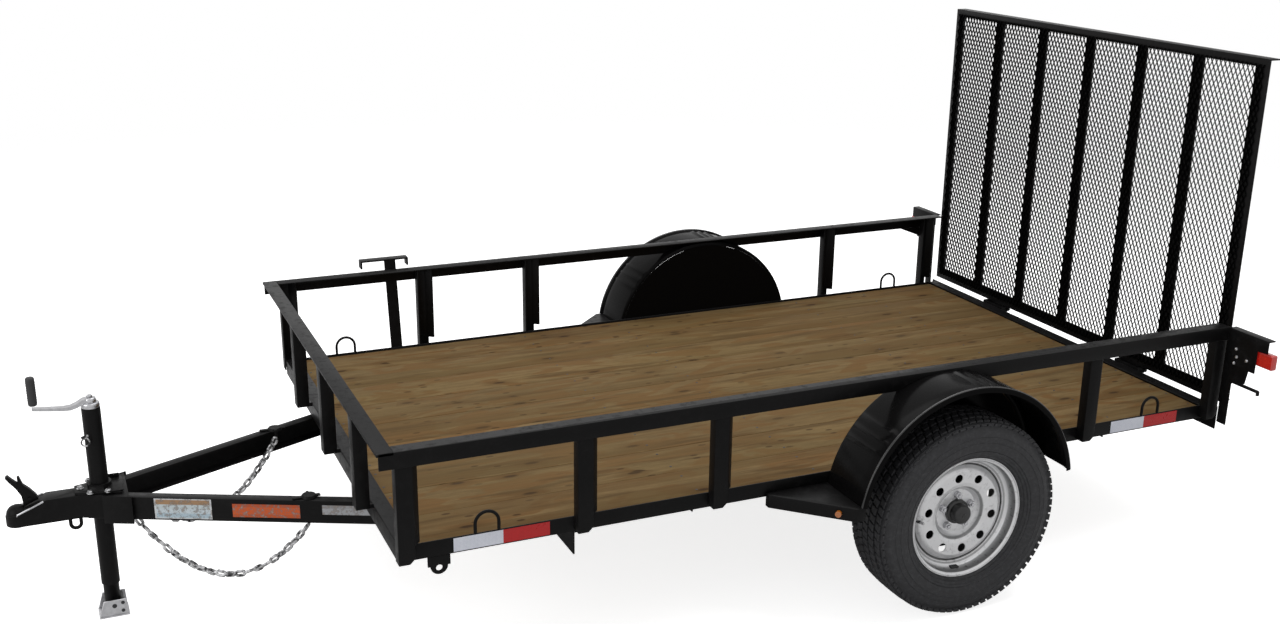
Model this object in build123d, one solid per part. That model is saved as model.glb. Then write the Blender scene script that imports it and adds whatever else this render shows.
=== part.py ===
from build123d import *
import os
from math import asin, cos, degrees, hypot, radians, sin, tan

os.makedirs("parts", exist_ok=True)

# Single-axle utility trailer with a plank deck, rail sides and a mesh ramp gate.
# Millimetres. X runs rearwards from the coupler to the gate, Y to the kerb side, Z up.
# Stations along the bed are measured from the outer face of the front top rail,
# and X_SHIFT moves them so that the origin lies under the middle of the whole trailer.

# ---------------------------------------------------------------- driving sizes
BED_LENGTH = 3083.0          # front top rail to the rear posts
BED_WIDTH = 1812.0           # over the outer faces of the top rails
TOP_RAIL_Z = 802.0           # top of the top rails
DECK_FRAME_Z = 442.0         # underside of the side rails
TONGUE_TOP_Z = 434.0         # top of the tongue arms, under the front header
FRAME_INSET = 44.0           # side rails inside the top rails' outer faces
ANGLE_LEG = 50.0             # rolled angle used for rails, headers and posts
ANGLE_WALL = 5.0
POST_WIDTH = 48.0            # flat outer face of a post
POST_FOLD = 20.0             # reach of the folded rear edge, at 45 degrees
POST_FOOT_Z = 450.0
POST_FOOT_CUT = 15.0         # clipped lower corner of each post
BOARD_THICKNESS = 38.0
BOARD_COUNT = 9
BOARD_GAP = 4.0
SEAT = 0.3                   # clearance between pieces that rest on each other

TONGUE_ANGLE = 25.0          # each arm, from the centre line
TONGUE_HALF_AT_FRONT = 374.0 # outer face of an arm where it passes the bed's front
CHANNEL_HEIGHT = 76.0
CHANNEL_FLANGE = 36.0
CHANNEL_WALL = 5.0
TONGUE_REAR_X = 592.0        # arms end at the tongue crossmember

TIRE_RADIUS = 340.0
TIRE_WIDTH = 205.0
RIM_RADIUS = 208.5           # over the rim flanges
RIM_WIDTH = 154.0
WHEEL_X = 1882.0
WHEEL_Y = 985.0

FENDER_RADIUS = 409.0
FENDER_CENTRE_Z = 390.0
FENDER_AHEAD = 15.0          # fender centre ahead of the axle
FENDER_OUTER_Y = 1105.0
FENDER_WALL = 3.0

GATE_HEIGHT = 1236.0
GATE_BOTTOM_Z = 506.0
GATE_WIDTH = 1782.0
GATE_DEPTH = 50.0
GATE_FRONT_X = 3098.0
HINGE_X = 3123.0
HINGE_Z = 490.0

JACK_X = -684.0
JACK_TUBE_RADIUS = 28.5
JACK_TOP_Z = 717.0

# ---------------------------------------------------------------- derived places
HALF = BED_WIDTH / 2
FRAME_HALF = HALF - FRAME_INSET                     # outer face of a side rail
FRAME_FRONT_X = ANGLE_LEG + 2 * ANGLE_WALL + 1.0    # outer face of the front header
FRAME_REAR_X = BED_LENGTH + ANGLE_WALL + 2.0        # outer face of the rear header
BOARD_BOTTOM_Z = DECK_FRAME_Z + ANGLE_WALL
DECK_Z = BOARD_BOTTOM_Z + BOARD_THICKNESS
AXLE_Z = TIRE_RADIUS
FENDER_X = WHEEL_X - FENDER_AHEAD

NOSE_X = -966.0
REAR_END_X = GATE_FRONT_X + GATE_DEPTH
X_SHIFT = -(NOSE_X + REAR_END_X) / 2

OUTPUT = []


def at(x, y, z):
    """A place in bed stations, moved into the trailer's own frame."""
    return Location((x + X_SHIFT, y, z))


def export(name, pieces):
    """Write one node; a list of separate solids goes out as one compound."""
    solids = []
    for piece in pieces:
        solids.extend(piece.solids())
    body = solids[0] if len(solids) == 1 else Compound(solids)
    export_step(body, "parts/" + name + ".step")
    OUTPUT.append((name, len(solids)))


def block(x0, x1, y0, y1, z0, z1):
    """A plain bar between two corners given in bed stations."""
    x0, x1 = sorted((x0, x1))
    y0, y1 = sorted((y0, y1))
    bar = Box(x1 - x0, y1 - y0, z1 - z0, align=(Align.MIN, Align.MIN, Align.MIN))
    return at(x0, y0, z0) * bar


def rod(start, end, radius):
    """A round bar from one station to another."""
    a = Vector(*start)
    b = Vector(*end)
    axis = b - a
    plane = Plane(origin=(a.X + X_SHIFT, a.Y, a.Z), z_dir=axis)
    return plane * Cylinder(radius, axis.length, align=(Align.CENTER, Align.CENTER, Align.MIN))


def mirrored(shape):
    return mirror(shape, about=Plane.XZ)


def extrude_xz(points, y0, y1):
    """A plate with an outline in stations (x, z), between two values of y."""
    face = Plane.XZ * make_face(Polyline(*[(x + X_SHIFT, z) for x, z in points], close=True))
    return Pos(0, y1, 0) * extrude(face, y1 - y0)


def extrude_yz(points, x0, x1):
    """A plate with an outline (y, z), between two stations."""
    face = Plane.YZ * make_face(Polyline(*points, close=True))
    return Pos(x0 + X_SHIFT, 0, 0) * extrude(face, x1 - x0)


def extrude_xy(points, z0, z1):
    """A plate with an outline in stations (x, y), between two heights."""
    face = make_face(Polyline(*[(x + X_SHIFT, y) for x, y in points], close=True))
    return Pos(0, 0, z0) * extrude(face, z1 - z0)


# ---------------------------------------------------------------- bed frame
def side_rail():
    """Lower side rail on the near side: a leg up the boards' edge, a leg under them."""
    upright = block(FRAME_FRONT_X + ANGLE_WALL + SEAT, FRAME_REAR_X - ANGLE_WALL - SEAT,
                    -FRAME_HALF, -FRAME_HALF + ANGLE_WALL, DECK_FRAME_Z, DECK_FRAME_Z + ANGLE_LEG)
    ledge = block(FRAME_FRONT_X + ANGLE_WALL + SEAT, FRAME_REAR_X - ANGLE_WALL - SEAT,
                  -FRAME_HALF, -FRAME_HALF + ANGLE_LEG, DECK_FRAME_Z, BOARD_BOTTOM_Z)
    return upright + ledge


HEADER_TOP_Z = DECK_FRAME_Z + ANGLE_LEG
HEADER_LEDGE = 75.0          # the boards' ends rest on its inner part
REAR_HEADER_DROP = 37.0      # how far the rear header's face hangs below the rails


def header(face_x, inward, half, foot_z):
    """Channel across the bed's end, open towards the boards: face, top flange and ledge."""
    reach = FRAME_HALF - ANGLE_WALL - SEAT
    face = block(face_x, face_x + inward * ANGLE_WALL, -half, half, foot_z, HEADER_TOP_Z)
    flange = block(face_x, face_x + inward * ANGLE_LEG, -reach, reach,
                   HEADER_TOP_Z - ANGLE_WALL, HEADER_TOP_Z)
    reach = FRAME_HALF - ANGLE_LEG - SEAT
    ledge = block(face_x, face_x + inward * HEADER_LEDGE, -reach, reach, DECK_FRAME_Z, BOARD_BOTTOM_Z)
    return face + flange + ledge


def deck_boards():
    inner = 2 * (FRAME_HALF - ANGLE_WALL)
    width = (inner - (BOARD_COUNT + 1) * BOARD_GAP) / BOARD_COUNT
    x0 = FRAME_FRONT_X + ANGLE_LEG + SEAT
    x1 = FRAME_REAR_X - ANGLE_LEG - SEAT
    boards = []
    for index in range(BOARD_COUNT):
        y0 = -inner / 2 + BOARD_GAP + index * (width + BOARD_GAP)
        board = block(x0, x1, y0, y0 + width, BOARD_BOTTOM_Z + SEAT, DECK_Z)
        boards.append(board)
    return boards


# station of the front face of each inner crossmember
CROSSMEMBER_X = (1010.0, 1430.0, 2290.0, 2640.0)
CROSSMEMBER_LEG = 38.0


def crossmembers():
    """Angles between the side rails' ledges, level with them."""
    bars = []
    half = FRAME_HALF - ANGLE_LEG - SEAT
    for x in CROSSMEMBER_X:
        leg = block(x, x + ANGLE_WALL, -half, half, BOARD_BOTTOM_Z - CROSSMEMBER_LEG, BOARD_BOTTOM_Z)
        flange = block(x, x + CROSSMEMBER_LEG, -half, half, BOARD_BOTTOM_Z - ANGLE_WALL, BOARD_BOTTOM_Z)
        bars.append(leg + flange)
    return bars


def under_member(x, depth):
    """Angle across the underside of the side rails, upright leg to the front."""
    top = DECK_FRAME_Z - SEAT
    leg = block(x, x + ANGLE_WALL, -FRAME_HALF, FRAME_HALF, top - depth, top)
    flange = block(x, x + ANGLE_LEG, -FRAME_HALF, FRAME_HALF, top - ANGLE_WALL, top)
    return leg + flange


# station of the front edge of each side post, and the last one's folded edge
NEAR_POST_X = (51.0, 594.0, 1041.0, 2472.0, 3033.0)
FAR_POST_X = (56.0, 594.0, 1046.0, 2460.0, 2991.0)
# distance of each front post from the centre line
FRONT_POST_Y = (-640.0, 600.0)


def side_posts(stations):
    """Posts between the side rail and the top rail: web, flat face, and a folded rear edge."""
    posts = []
    top = TOP_RAIL_Z - ANGLE_WALL - SEAT
    outer = -HALF + ANGLE_WALL + SEAT
    inner = -FRAME_HALF - SEAT
    for x in stations:
        outline = ((x, POST_FOOT_Z), (x + POST_WIDTH - POST_FOOT_CUT, POST_FOOT_Z),
                   (x + POST_WIDTH, POST_FOOT_Z + POST_FOOT_CUT), (x + POST_WIDTH, top), (x, top))
        post = extrude_xz(outline, outer, outer + ANGLE_WALL)
        post += block(x, x + ANGLE_WALL, outer, inner, POST_FOOT_Z, top)
        edge = x + POST_WIDTH
        if edge + POST_FOLD < BED_LENGTH:
            fold = ((edge, outer), (edge + POST_FOLD, outer + POST_FOLD),
                    (edge + POST_FOLD - ANGLE_WALL, outer + POST_FOLD + ANGLE_WALL),
                    (edge - 2 * ANGLE_WALL, outer + ANGLE_WALL), (edge - 2 * ANGLE_WALL, outer))
            post += extrude_xy(fold, DECK_FRAME_Z + ANGLE_LEG + POST_FOOT_CUT, top)
        posts.append(post)
    return posts


GUSSET_LENGTH = 100.0
GUSSET_DEPTH = 40.0


def gusset():
    """Three-cornered plate in the corner of the far top rail and its last post."""
    corner_x = FAR_POST_X[-1] - SEAT
    corner_z = TOP_RAIL_Z - ANGLE_LEG - SEAT
    outline = ((corner_x, corner_z), (corner_x - GUSSET_LENGTH, corner_z),
               (corner_x, corner_z - GUSSET_DEPTH))
    y0 = HALF - 2 * ANGLE_WALL - SEAT
    return extrude_xz(outline, y0, y0 + 2 * ANGLE_WALL)


def front_posts():
    posts = []
    top = TOP_RAIL_Z - ANGLE_WALL - SEAT
    x0 = ANGLE_WALL + SEAT
    for y in FRONT_POST_Y:
        flange = block(x0, x0 + ANGLE_WALL, y, y + ANGLE_LEG, POST_FOOT_Z, top)
        web = block(x0, FRAME_FRONT_X - SEAT, y, y + ANGLE_WALL, POST_FOOT_Z, top)
        posts.append(flange + web)
    return posts


def top_rail_side():
    drop = block(ANGLE_WALL + SEAT, BED_LENGTH, -HALF, -HALF + ANGLE_WALL, TOP_RAIL_Z - ANGLE_LEG, TOP_RAIL_Z)
    cap = block(ANGLE_LEG + SEAT, BED_LENGTH, -HALF, -HALF + ANGLE_LEG, TOP_RAIL_Z - ANGLE_WALL, TOP_RAIL_Z)
    return drop + cap


def top_rail_front():
    drop = block(0, ANGLE_WALL, -HALF, HALF, TOP_RAIL_Z - ANGLE_LEG, TOP_RAIL_Z)
    cap = block(0, ANGLE_LEG, -HALF + ANGLE_WALL + SEAT, HALF - ANGLE_WALL - SEAT,
                TOP_RAIL_Z - ANGLE_WALL, TOP_RAIL_Z)
    return drop + cap


# ---------------------------------------------------------------- tongue
ACROSS = 1 / cos(radians(TONGUE_ANGLE))     # a depth square to an arm, measured along Y


def tongue_half(x):
    """Distance of an arm's outer face from the centre line at a station."""
    return TONGUE_HALF_AT_FRONT + x * tan(radians(TONGUE_ANGLE))


def tongue_band(depth_outer, depth_inner, z0, z1, x0, x1):
    """A strip of the near arm between two depths from its outer face."""
    outline = ((x0, -tongue_half(x0) + depth_outer * ACROSS), (x1, -tongue_half(x1) + depth_outer * ACROSS),
               (x1, -tongue_half(x1) + depth_inner * ACROSS), (x0, -tongue_half(x0) + depth_inner * ACROSS))
    return extrude_xy(outline, z0, z1)


COUPLER_WALL = 6.0
COUPLER_REAR_X = -604.0
COUPLER_NECK = 34.0          # half-width of the neck behind the socket
NECK_ARM_HALF = COUPLER_NECK - (COUPLER_WALL + SEAT) * ACROSS
NECK_END_X = (NECK_ARM_HALF - TONGUE_HALF_AT_FRONT) / tan(radians(TONGUE_ANGLE))
TONGUE_FRONT_X = NECK_END_X + 16.0


def jack_bore(clearance, bottom, top):
    return rod((JACK_X, 0, bottom), (JACK_X, 0, top), JACK_TUBE_RADIUS + clearance)


def tongue_arm():
    """Channel arm under the bed, web outwards, mitred on the centre line."""
    top = TONGUE_TOP_Z
    bottom = top - CHANNEL_HEIGHT
    x1 = TONGUE_REAR_X - SEAT
    arm = tongue_band(0, CHANNEL_WALL, bottom, top, TONGUE_FRONT_X, x1)
    arm += tongue_band(0, CHANNEL_FLANGE, top - CHANNEL_WALL, top, TONGUE_FRONT_X, x1)
    arm += tongue_band(0, CHANNEL_FLANGE, bottom, bottom + CHANNEL_WALL, TONGUE_FRONT_X, x1)
    over = 200.0
    arm -= block(TONGUE_FRONT_X - over, x1, -SEAT, over, bottom - over, top + over)
    return arm - jack_bore(3.0, bottom - over, top + over)


BALL_RADIUS = 25.4
SOCKET_X = NOSE_X + 36.0
SOCKET_WALL_RADIUS = 36.0


LATCH_HALF = 11.0
# station and height of each corner of the latch lever, round from its foot's rear
LATCH_EDGE = ((-872.0, 0.0), (-876.0, 22.0), (-930.0, 80.0), (-948.0, 86.0), (-953.0, 72.0),
              (-915.0, 30.0), (-906.0, 0.0))


def coupler_latch():
    """Lever on top of the socket, standing where it locks."""
    foot = TONGUE_TOP_Z + COUPLER_WALL + 2 * SEAT
    return extrude_xz([(x, foot + rise) for x, rise in LATCH_EDGE], -LATCH_HALF, LATCH_HALF)


def coupler():
    """A-frame coupler: a sheet over both arms with side flanges and a ball socket nose."""
    under = TONGUE_TOP_Z + SEAT
    top = under + COUPLER_WALL
    bottom = TONGUE_TOP_Z - CHANNEL_HEIGHT + 4.0
    rear = tongue_half(COUPLER_REAR_X) + (COUPLER_WALL + SEAT) * ACROSS
    outer = ((SOCKET_X, -COUPLER_NECK), (NECK_END_X, -COUPLER_NECK), (COUPLER_REAR_X, -rear),
             (COUPLER_REAR_X, rear), (NECK_END_X, COUPLER_NECK), (SOCKET_X, COUPLER_NECK))
    shell = extrude_xy(outer, bottom, top)
    hollow_front = TONGUE_FRONT_X - SEAT
    hollow_rear = COUPLER_REAR_X + 10
    near = tongue_half(hollow_front) + SEAT * ACROSS
    far = tongue_half(hollow_rear) + SEAT * ACROSS
    hollow = ((hollow_front, -near), (hollow_rear, -far), (hollow_rear, far), (hollow_front, near))
    shell -= extrude_xy(hollow, bottom - 10, under)
    base = (Align.CENTER, Align.CENTER, Align.MIN)
    nose = at(SOCKET_X, 0, bottom) * Cylinder(SOCKET_WALL_RADIUS, 50.0, align=base)
    body = shell + nose
    body -= at(SOCKET_X, 0, bottom + 18) * Sphere(BALL_RADIUS + 1.0)
    body -= at(SOCKET_X, 0, bottom - 10) * Cylinder(BALL_RADIUS + 1.0, 28, align=base)
    return body - jack_bore(1.5, bottom - 20, top + 20)


# ---------------------------------------------------------------- wheels and axle
def tire():
    """Revolved carcass with rounded shoulders, its beads on the rim's seats."""
    half = TIRE_WIDTH / 2
    seat = RIM_RADIUS - 12.0 + SEAT
    bead = RIM_WIDTH / 2 - 10.0 - SEAT
    edge = RIM_WIDTH / 2 - 4.0
    tread = half - 22.0
    # radius, distance from the middle of the tread
    side = ((seat, bead), (RIM_RADIUS + SEAT, edge), (RIM_RADIUS + 6, edge + 10), (RIM_RADIUS + 26, half - 8),
            (TIRE_RADIUS - 66, half), (TIRE_RADIUS - 26, half - 6), (TIRE_RADIUS - 6, tread + 6),
            (TIRE_RADIUS, tread - 14))
    lining = ((TIRE_RADIUS - 14, tread - 10), (TIRE_RADIUS - 34, half - 22), (TIRE_RADIUS - 66, half - 10),
              (RIM_RADIUS + 24, half - 18), (seat, bead - 14))
    outline = [(r, -w) for r, w in side] + [(r, w) for r, w in reversed(side)]
    outline += [(r, w) for r, w in reversed(lining)] + [(r, -w) for r, w in lining]
    carcass = revolve(Plane.XZ * make_face(Polyline(*outline, close=True)), axis=Axis.Z)
    return at(WHEEL_X, -WHEEL_Y, AXLE_Z) * Rot(90, 0, 0) * carcass


def rim():
    """Steel wheel: barrel with flanges, dished disc, vent holes and stud holes."""
    half = RIM_WIDTH / 2
    barrel = RIM_RADIUS - 12.0
    well = barrel - 22.0
    wall = 3.5
    disc_y = 38.0
    with BuildPart() as part:
        with BuildSketch(Plane.XZ):
            with BuildLine():
                Polyline((RIM_RADIUS, -half), (RIM_RADIUS, -half + wall), (barrel, -half + 10),
                         (barrel, -half + 34), (well, -half + 44), (well, half - 50), (barrel, half - 36),
                         (barrel, half - 10), (RIM_RADIUS, half - wall), (RIM_RADIUS, half),
                         (barrel - wall, half - 8), (barrel - wall, half - 36), (well - wall, half - 50),
                         (well - wall, -half + 44), (barrel - wall, -half + 34),
                         (barrel - wall, -half + 8), close=True)
            make_face()
        revolve(axis=Axis.Z)
        with BuildSketch(Plane.XZ):
            with BuildLine():
                Polyline((42, 10), (42, 10 + wall), (82, 10 + wall), (98, disc_y), (150, disc_y),
                         (well - wall + 1, 12), (well - wall + 1, 6), (148, disc_y - wall - 1),
                         (100, disc_y - wall - 1), (84, 10), close=True)
            make_face()
        revolve(axis=Axis.Z)
        with BuildSketch(Plane.XY.offset(-half)):
            with PolarLocations(132, 10):
                Circle(11.5)
        extrude(amount=2 * half, mode=Mode.SUBTRACT)
        with BuildSketch(Plane.XY.offset(-half)):
            with PolarLocations(57.15, 5):
                Circle(7)
        extrude(amount=2 * half, mode=Mode.SUBTRACT)
    return at(WHEEL_X, -WHEEL_Y, AXLE_Z) * Rot(90, 0, 0) * part.part


def hub():
    """Hub flange behind the disc, studs and nuts, and the grease cap through it."""
    flange = Pos(0, 0, 0) * Cylinder(70, 9.7, align=(Align.CENTER, Align.CENTER, Align.MIN))
    body = flange + Pos(0, 0, -70) * Cylinder(40, 70, align=(Align.CENTER, Align.CENTER, Align.MIN))
    body += Cylinder(32, 52, align=(Align.CENTER, Align.CENTER, Align.MIN))
    body += Pos(0, 0, 52) * Cone(32, 26, 10, align=(Align.CENTER, Align.CENTER, Align.MIN))
    body -= Pos(0, 0, -71) * Cylinder(20, 90, align=(Align.CENTER, Align.CENTER, Align.MIN))
    for index in range(5):
        turn = Rot(0, 0, index * 72)
        body += turn * Pos(57.15, 0, 5) * Cylinder(6.2, 22, align=(Align.CENTER, Align.CENTER, Align.MIN))
        body += turn * Pos(57.15, 0, 13.8) * extrude(RegularPolygon(10.5, 6), 14)
    return at(WHEEL_X, -WHEEL_Y, AXLE_Z) * Rot(90, 0, 0) * body


SPRING_Y = 815.0
EYE_Z = 385.0
SPRING_HALF = 320.0
SPRING_WIDTH = 44.0
AXLE_RADIUS = 30.0
LEAF_COUNT = 3
LEAF_WALL = 7.0
BOLT_RADIUS = 6.0


def spring_plate():
    """Plate under the leaf pack with two U-bolts over the axle."""
    top = AXLE_Z - AXLE_RADIUS - SEAT - LEAF_COUNT * LEAF_WALL - SEAT
    reach = AXLE_RADIUS + SEAT + BOLT_RADIUS
    piece = block(WHEEL_X - 52, WHEEL_X + 52, -SPRING_Y - 45, -SPRING_Y + 45, top - 8, top)
    for y in (-SPRING_Y - SPRING_WIDTH / 2 - 8, -SPRING_Y + SPRING_WIDTH / 2 + 8):
        arch = Torus(reach, BOLT_RADIUS) - Pos(0, -2 * reach, 0) * Box(4 * reach, 4 * reach, 4 * reach)
        piece += at(WHEEL_X, y, AXLE_Z) * Rot(90, 0, 0) * arch
        for side in (-1, 1):
            x = WHEEL_X + side * reach
            piece += rod((x, y, top - 24), (x, y, AXLE_Z), BOLT_RADIUS)
    return piece


def axle_beam():
    beam = rod((WHEEL_X, -WHEEL_Y + 74, AXLE_Z), (WHEEL_X, WHEEL_Y - 74, AXLE_Z), AXLE_RADIUS)
    spindle = rod((WHEEL_X, -WHEEL_Y - 15, AXLE_Z), (WHEEL_X, WHEEL_Y + 15, AXLE_Z), 19.5)
    return beam + spindle


def leaf_spring():
    """Three-leaf pack slung under the axle, eyes at both ends of the main leaf."""
    leaf = LEAF_WALL
    top = AXLE_Z - AXLE_RADIUS - SEAT
    sag = EYE_Z - top
    radius = (SPRING_HALF ** 2 + sag ** 2) / (2 * sag)
    # half-length of each leaf
    leaves = (SPRING_HALF, SPRING_HALF * 0.72, SPRING_HALF * 0.45)
    pack = None
    for index, reach in enumerate(leaves):
        inner = radius + index * leaf
        outer = inner + leaf
        span = degrees(asin(reach / radius))
        ring = Cylinder(outer, SPRING_WIDTH) - Cylinder(inner, SPRING_WIDTH)
        reach_out = outer + 10
        tip_x = reach_out * sin(radians(span))
        tip_y = -reach_out * cos(radians(span))
        outline = Polyline((0, 0), (tip_x, tip_y), (0, -reach_out * 1.02), (-tip_x, tip_y), close=True)
        wedge = make_face(outline)
        sector = extrude(wedge, SPRING_WIDTH / 2, both=True)
        piece = ring & sector
        pack = piece if pack is None else pack + piece
    pack = at(WHEEL_X, -SPRING_Y, top + radius) * Rot(90, 0, 0) * pack
    near = -SPRING_Y - SPRING_WIDTH / 2
    far = -SPRING_Y + SPRING_WIDTH / 2
    for side in (-1, 1):
        eye_x = WHEEL_X + side * (SPRING_HALF + 8)
        pack += rod((eye_x, near, EYE_Z), (eye_x, far, EYE_Z), 16)
    for side in (-1, 1):
        eye_x = WHEEL_X + side * (SPRING_HALF + 8)
        pack -= rod((eye_x, near - 1, EYE_Z), (eye_x, far + 1, EYE_Z), 8.3)
    return pack


def spring_hangers():
    """Folded hanger at each end of a spring, with its eye bolt."""
    pieces = []
    cheek = 5.0
    gap = SPRING_WIDTH / 2 + 1.0
    for side in (-1, 1):
        eye_x = WHEEL_X + side * (SPRING_HALF + 8)
        hanger = None
        for way in (-1, 1):
            y = -SPRING_Y + way * (gap + cheek / 2)
            outline = ((eye_x - 34, DECK_FRAME_Z - SEAT), (eye_x + 34, DECK_FRAME_Z - SEAT),
                       (eye_x + 18, EYE_Z - 18), (eye_x - 18, EYE_Z - 18))
            plate = extrude_xz(outline, y - cheek / 2, y + cheek / 2)
            hanger = plate if hanger is None else hanger + plate
        hanger += block(eye_x - 34, eye_x + 34, -SPRING_Y - gap - cheek, -SPRING_Y + gap + cheek,
                        DECK_FRAME_Z - SEAT - cheek, DECK_FRAME_Z - SEAT)
        end = gap + cheek + 9
        hanger += rod((eye_x, -SPRING_Y - end, EYE_Z), (eye_x, -SPRING_Y + end, EYE_Z), 8)
        pieces.append(hanger)
    return pieces


def fender():
    """Round fender on the near side: rolled sheet, back plate and outer lip."""
    inner_y = FRAME_HALF + SEAT
    r = FENDER_RADIUS
    ring = Cylinder(r, FENDER_OUTER_Y - inner_y) - Cylinder(r - FENDER_WALL, FENDER_OUTER_Y - inner_y)
    plate = Pos(0, 0, 0) * Cylinder(r, FENDER_WALL)
    mid = (FENDER_OUTER_Y + inner_y) / 2
    ring = at(FENDER_X, -mid, FENDER_CENTRE_Z) * Rot(90, 0, 0) * ring
    plate = at(FENDER_X, -inner_y - FENDER_WALL / 2, FENDER_CENTRE_Z) * Rot(90, 0, 0) * plate
    lip_ring = Cylinder(r + 4, 10) - Cylinder(r - 14, 10)
    lip = at(FENDER_X, -FENDER_OUTER_Y + 5, FENDER_CENTRE_Z) * Rot(90, 0, 0) * lip_ring
    body = ring + plate + lip
    low = FENDER_CENTRE_Z + 66
    body -= block(FENDER_X - 2 * r, FENDER_X + 2 * r, -2 * HALF, 0, FENDER_CENTRE_Z - 2 * r, low)
    body -= block(FENDER_X - 2 * r, FENDER_X + 2 * r, -HALF - SEAT, 0,
                  TOP_RAIL_Z - ANGLE_LEG - SEAT, TOP_RAIL_Z + r)
    return body


BRACE_FRONT_X = 1245.0
BRACE_DEPTH = 44.0
BRACE_WALL = 4.0
BRACE_TOP_Z = FENDER_CENTRE_Z + 66.0 - SEAT
BRACE_TIP = (FENDER_X - FENDER_RADIUS - 10.0, FENDER_OUTER_Y - 25.0)


def fender_brace():
    """Three-cornered step bracket from the side rail to the fender's front edge."""
    inner = FRAME_HALF + SEAT
    tip_x, tip_y = BRACE_TIP
    x1 = tip_x + 32.0
    outline = ((BRACE_FRONT_X, -inner), (BRACE_FRONT_X, -inner - 20), (tip_x, -tip_y), (x1, -tip_y),
               (x1, -inner))
    plate = extrude_xy(outline, BRACE_TOP_Z - BRACE_DEPTH, BRACE_TOP_Z)
    pocket = ((BRACE_FRONT_X + BRACE_WALL, -inner + 1), (BRACE_FRONT_X + BRACE_WALL, -inner - 16),
              (tip_x + 1, -tip_y + 7), (x1 + 1, -tip_y + 7), (x1 + 1, -inner + 1))
    return plate - extrude_xy(pocket, BRACE_TOP_Z - BRACE_DEPTH - 1, BRACE_TOP_Z - BRACE_WALL)


def marker_lamp():
    """Amber lamp on the slanting face of the fender brace."""
    tip_x, tip_y = BRACE_TIP
    start_y = FRAME_HALF + SEAT + 20
    length = hypot(tip_x - BRACE_FRONT_X, tip_y - start_y)
    along = ((tip_x - BRACE_FRONT_X) / length, (tip_y - start_y) / length)
    share = 0.8
    x = BRACE_FRONT_X + (tip_x - BRACE_FRONT_X) * share
    y = start_y + (tip_y - start_y) * share
    z = BRACE_TOP_Z - BRACE_DEPTH / 2
    foot = (x - along[1] * SEAT, -(y + along[0] * SEAT), z)
    face = (x - along[1] * 12, -(y + along[0] * 12), z)
    return rod(foot, face, 10)


# ---------------------------------------------------------------- gate
UPRIGHT_COUNT = 7
UPRIGHT_WIDTH = 55.0
FIRST_UPRIGHT_Y = -829.0     # kerb-side face of the first upright
GATE_TOP_LEG = 30.0
GATE_BOTTOM_LEG = 52.0
MESH_WALL = 4.0
GATE_TOP_Z = GATE_BOTTOM_Z + GATE_HEIGHT


def gate_frame():
    """Angle frame with inner uprights behind the mesh, each with its leg to the kerb side."""
    half = GATE_WIDTH / 2
    x0 = GATE_FRONT_X + MESH_WALL + SEAT
    x1 = GATE_FRONT_X + GATE_DEPTH
    frame = block(x0, x0 + ANGLE_WALL, -half, half, GATE_TOP_Z - GATE_TOP_LEG, GATE_TOP_Z)
    frame += block(x0, x1, -half, half, GATE_TOP_Z - ANGLE_WALL, GATE_TOP_Z)
    frame += block(x0, x0 + ANGLE_WALL, -half, half, GATE_BOTTOM_Z, GATE_BOTTOM_Z + GATE_BOTTOM_LEG)
    frame += block(x0, x1, -half, half, GATE_BOTTOM_Z, GATE_BOTTOM_Z + ANGLE_WALL)
    pitch = (half - FIRST_UPRIGHT_Y) / (UPRIGHT_COUNT - 1)
    for index in range(UPRIGHT_COUNT):
        face_y = FIRST_UPRIGHT_Y + index * pitch
        edge_y = face_y - UPRIGHT_WIDTH if index else -half
        frame += block(x0, x0 + ANGLE_WALL, edge_y, face_y, GATE_BOTTOM_Z, GATE_TOP_Z)
        frame += block(x0, x1, face_y - ANGLE_WALL, face_y, GATE_BOTTOM_Z, GATE_TOP_Z)
    return frame


MESH_PITCH_Y = 120.0
MESH_PITCH_Z = 76.0
MESH_STRAND = 10.0


def gate_mesh():
    """Expanded sheet in front of the uprights: staggered diamond openings."""
    half = GATE_WIDTH / 2 - 20
    z0 = GATE_BOTTOM_Z + 20
    z1 = GATE_TOP_Z - 20
    wide = MESH_PITCH_Y - 2 * MESH_STRAND
    tall = MESH_PITCH_Z - 2 * MESH_STRAND * 0.7
    columns = int((2 * half - MESH_PITCH_Y) // (MESH_PITCH_Y / 2))
    rows = int((z1 - z0 - MESH_PITCH_Z) // MESH_PITCH_Z)
    face = Rectangle(2 * half, z1 - z0).face()
    holes = []
    for column in range(columns + 1):
        y = (column - columns / 2) * MESH_PITCH_Y / 2
        shift = MESH_PITCH_Z / 2 if column % 2 else 0.0
        count = rows if column % 2 else rows + 1
        for row in range(count):
            z = (row - (rows) / 2) * MESH_PITCH_Z + shift
            ring = Polyline((y - wide / 2, z), (y, z - tall / 2), (y + wide / 2, z), (y, z + tall / 2),
                            close=True)
            holes.append(Wire(ring.edges()))
    sheet = Face(face.outer_wire(), holes)
    solid = extrude(sheet, MESH_WALL, dir=(0, 0, 1))
    plane = Plane(origin=(GATE_FRONT_X + X_SHIFT, 0, (z0 + z1) / 2), x_dir=(0, 1, 0), z_dir=(1, 0, 0))
    return plane * solid


HINGE_Y = (-413.0, 442.0)
PIN_RADIUS = 7.0
BARREL_RADIUS = 14.0
BARREL_HALF = 51.0
EAR_WALL = 10.0
EAR_RADIUS = PIN_RADIUS + 4.0
MOVING_GAP = 5.0


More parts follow.
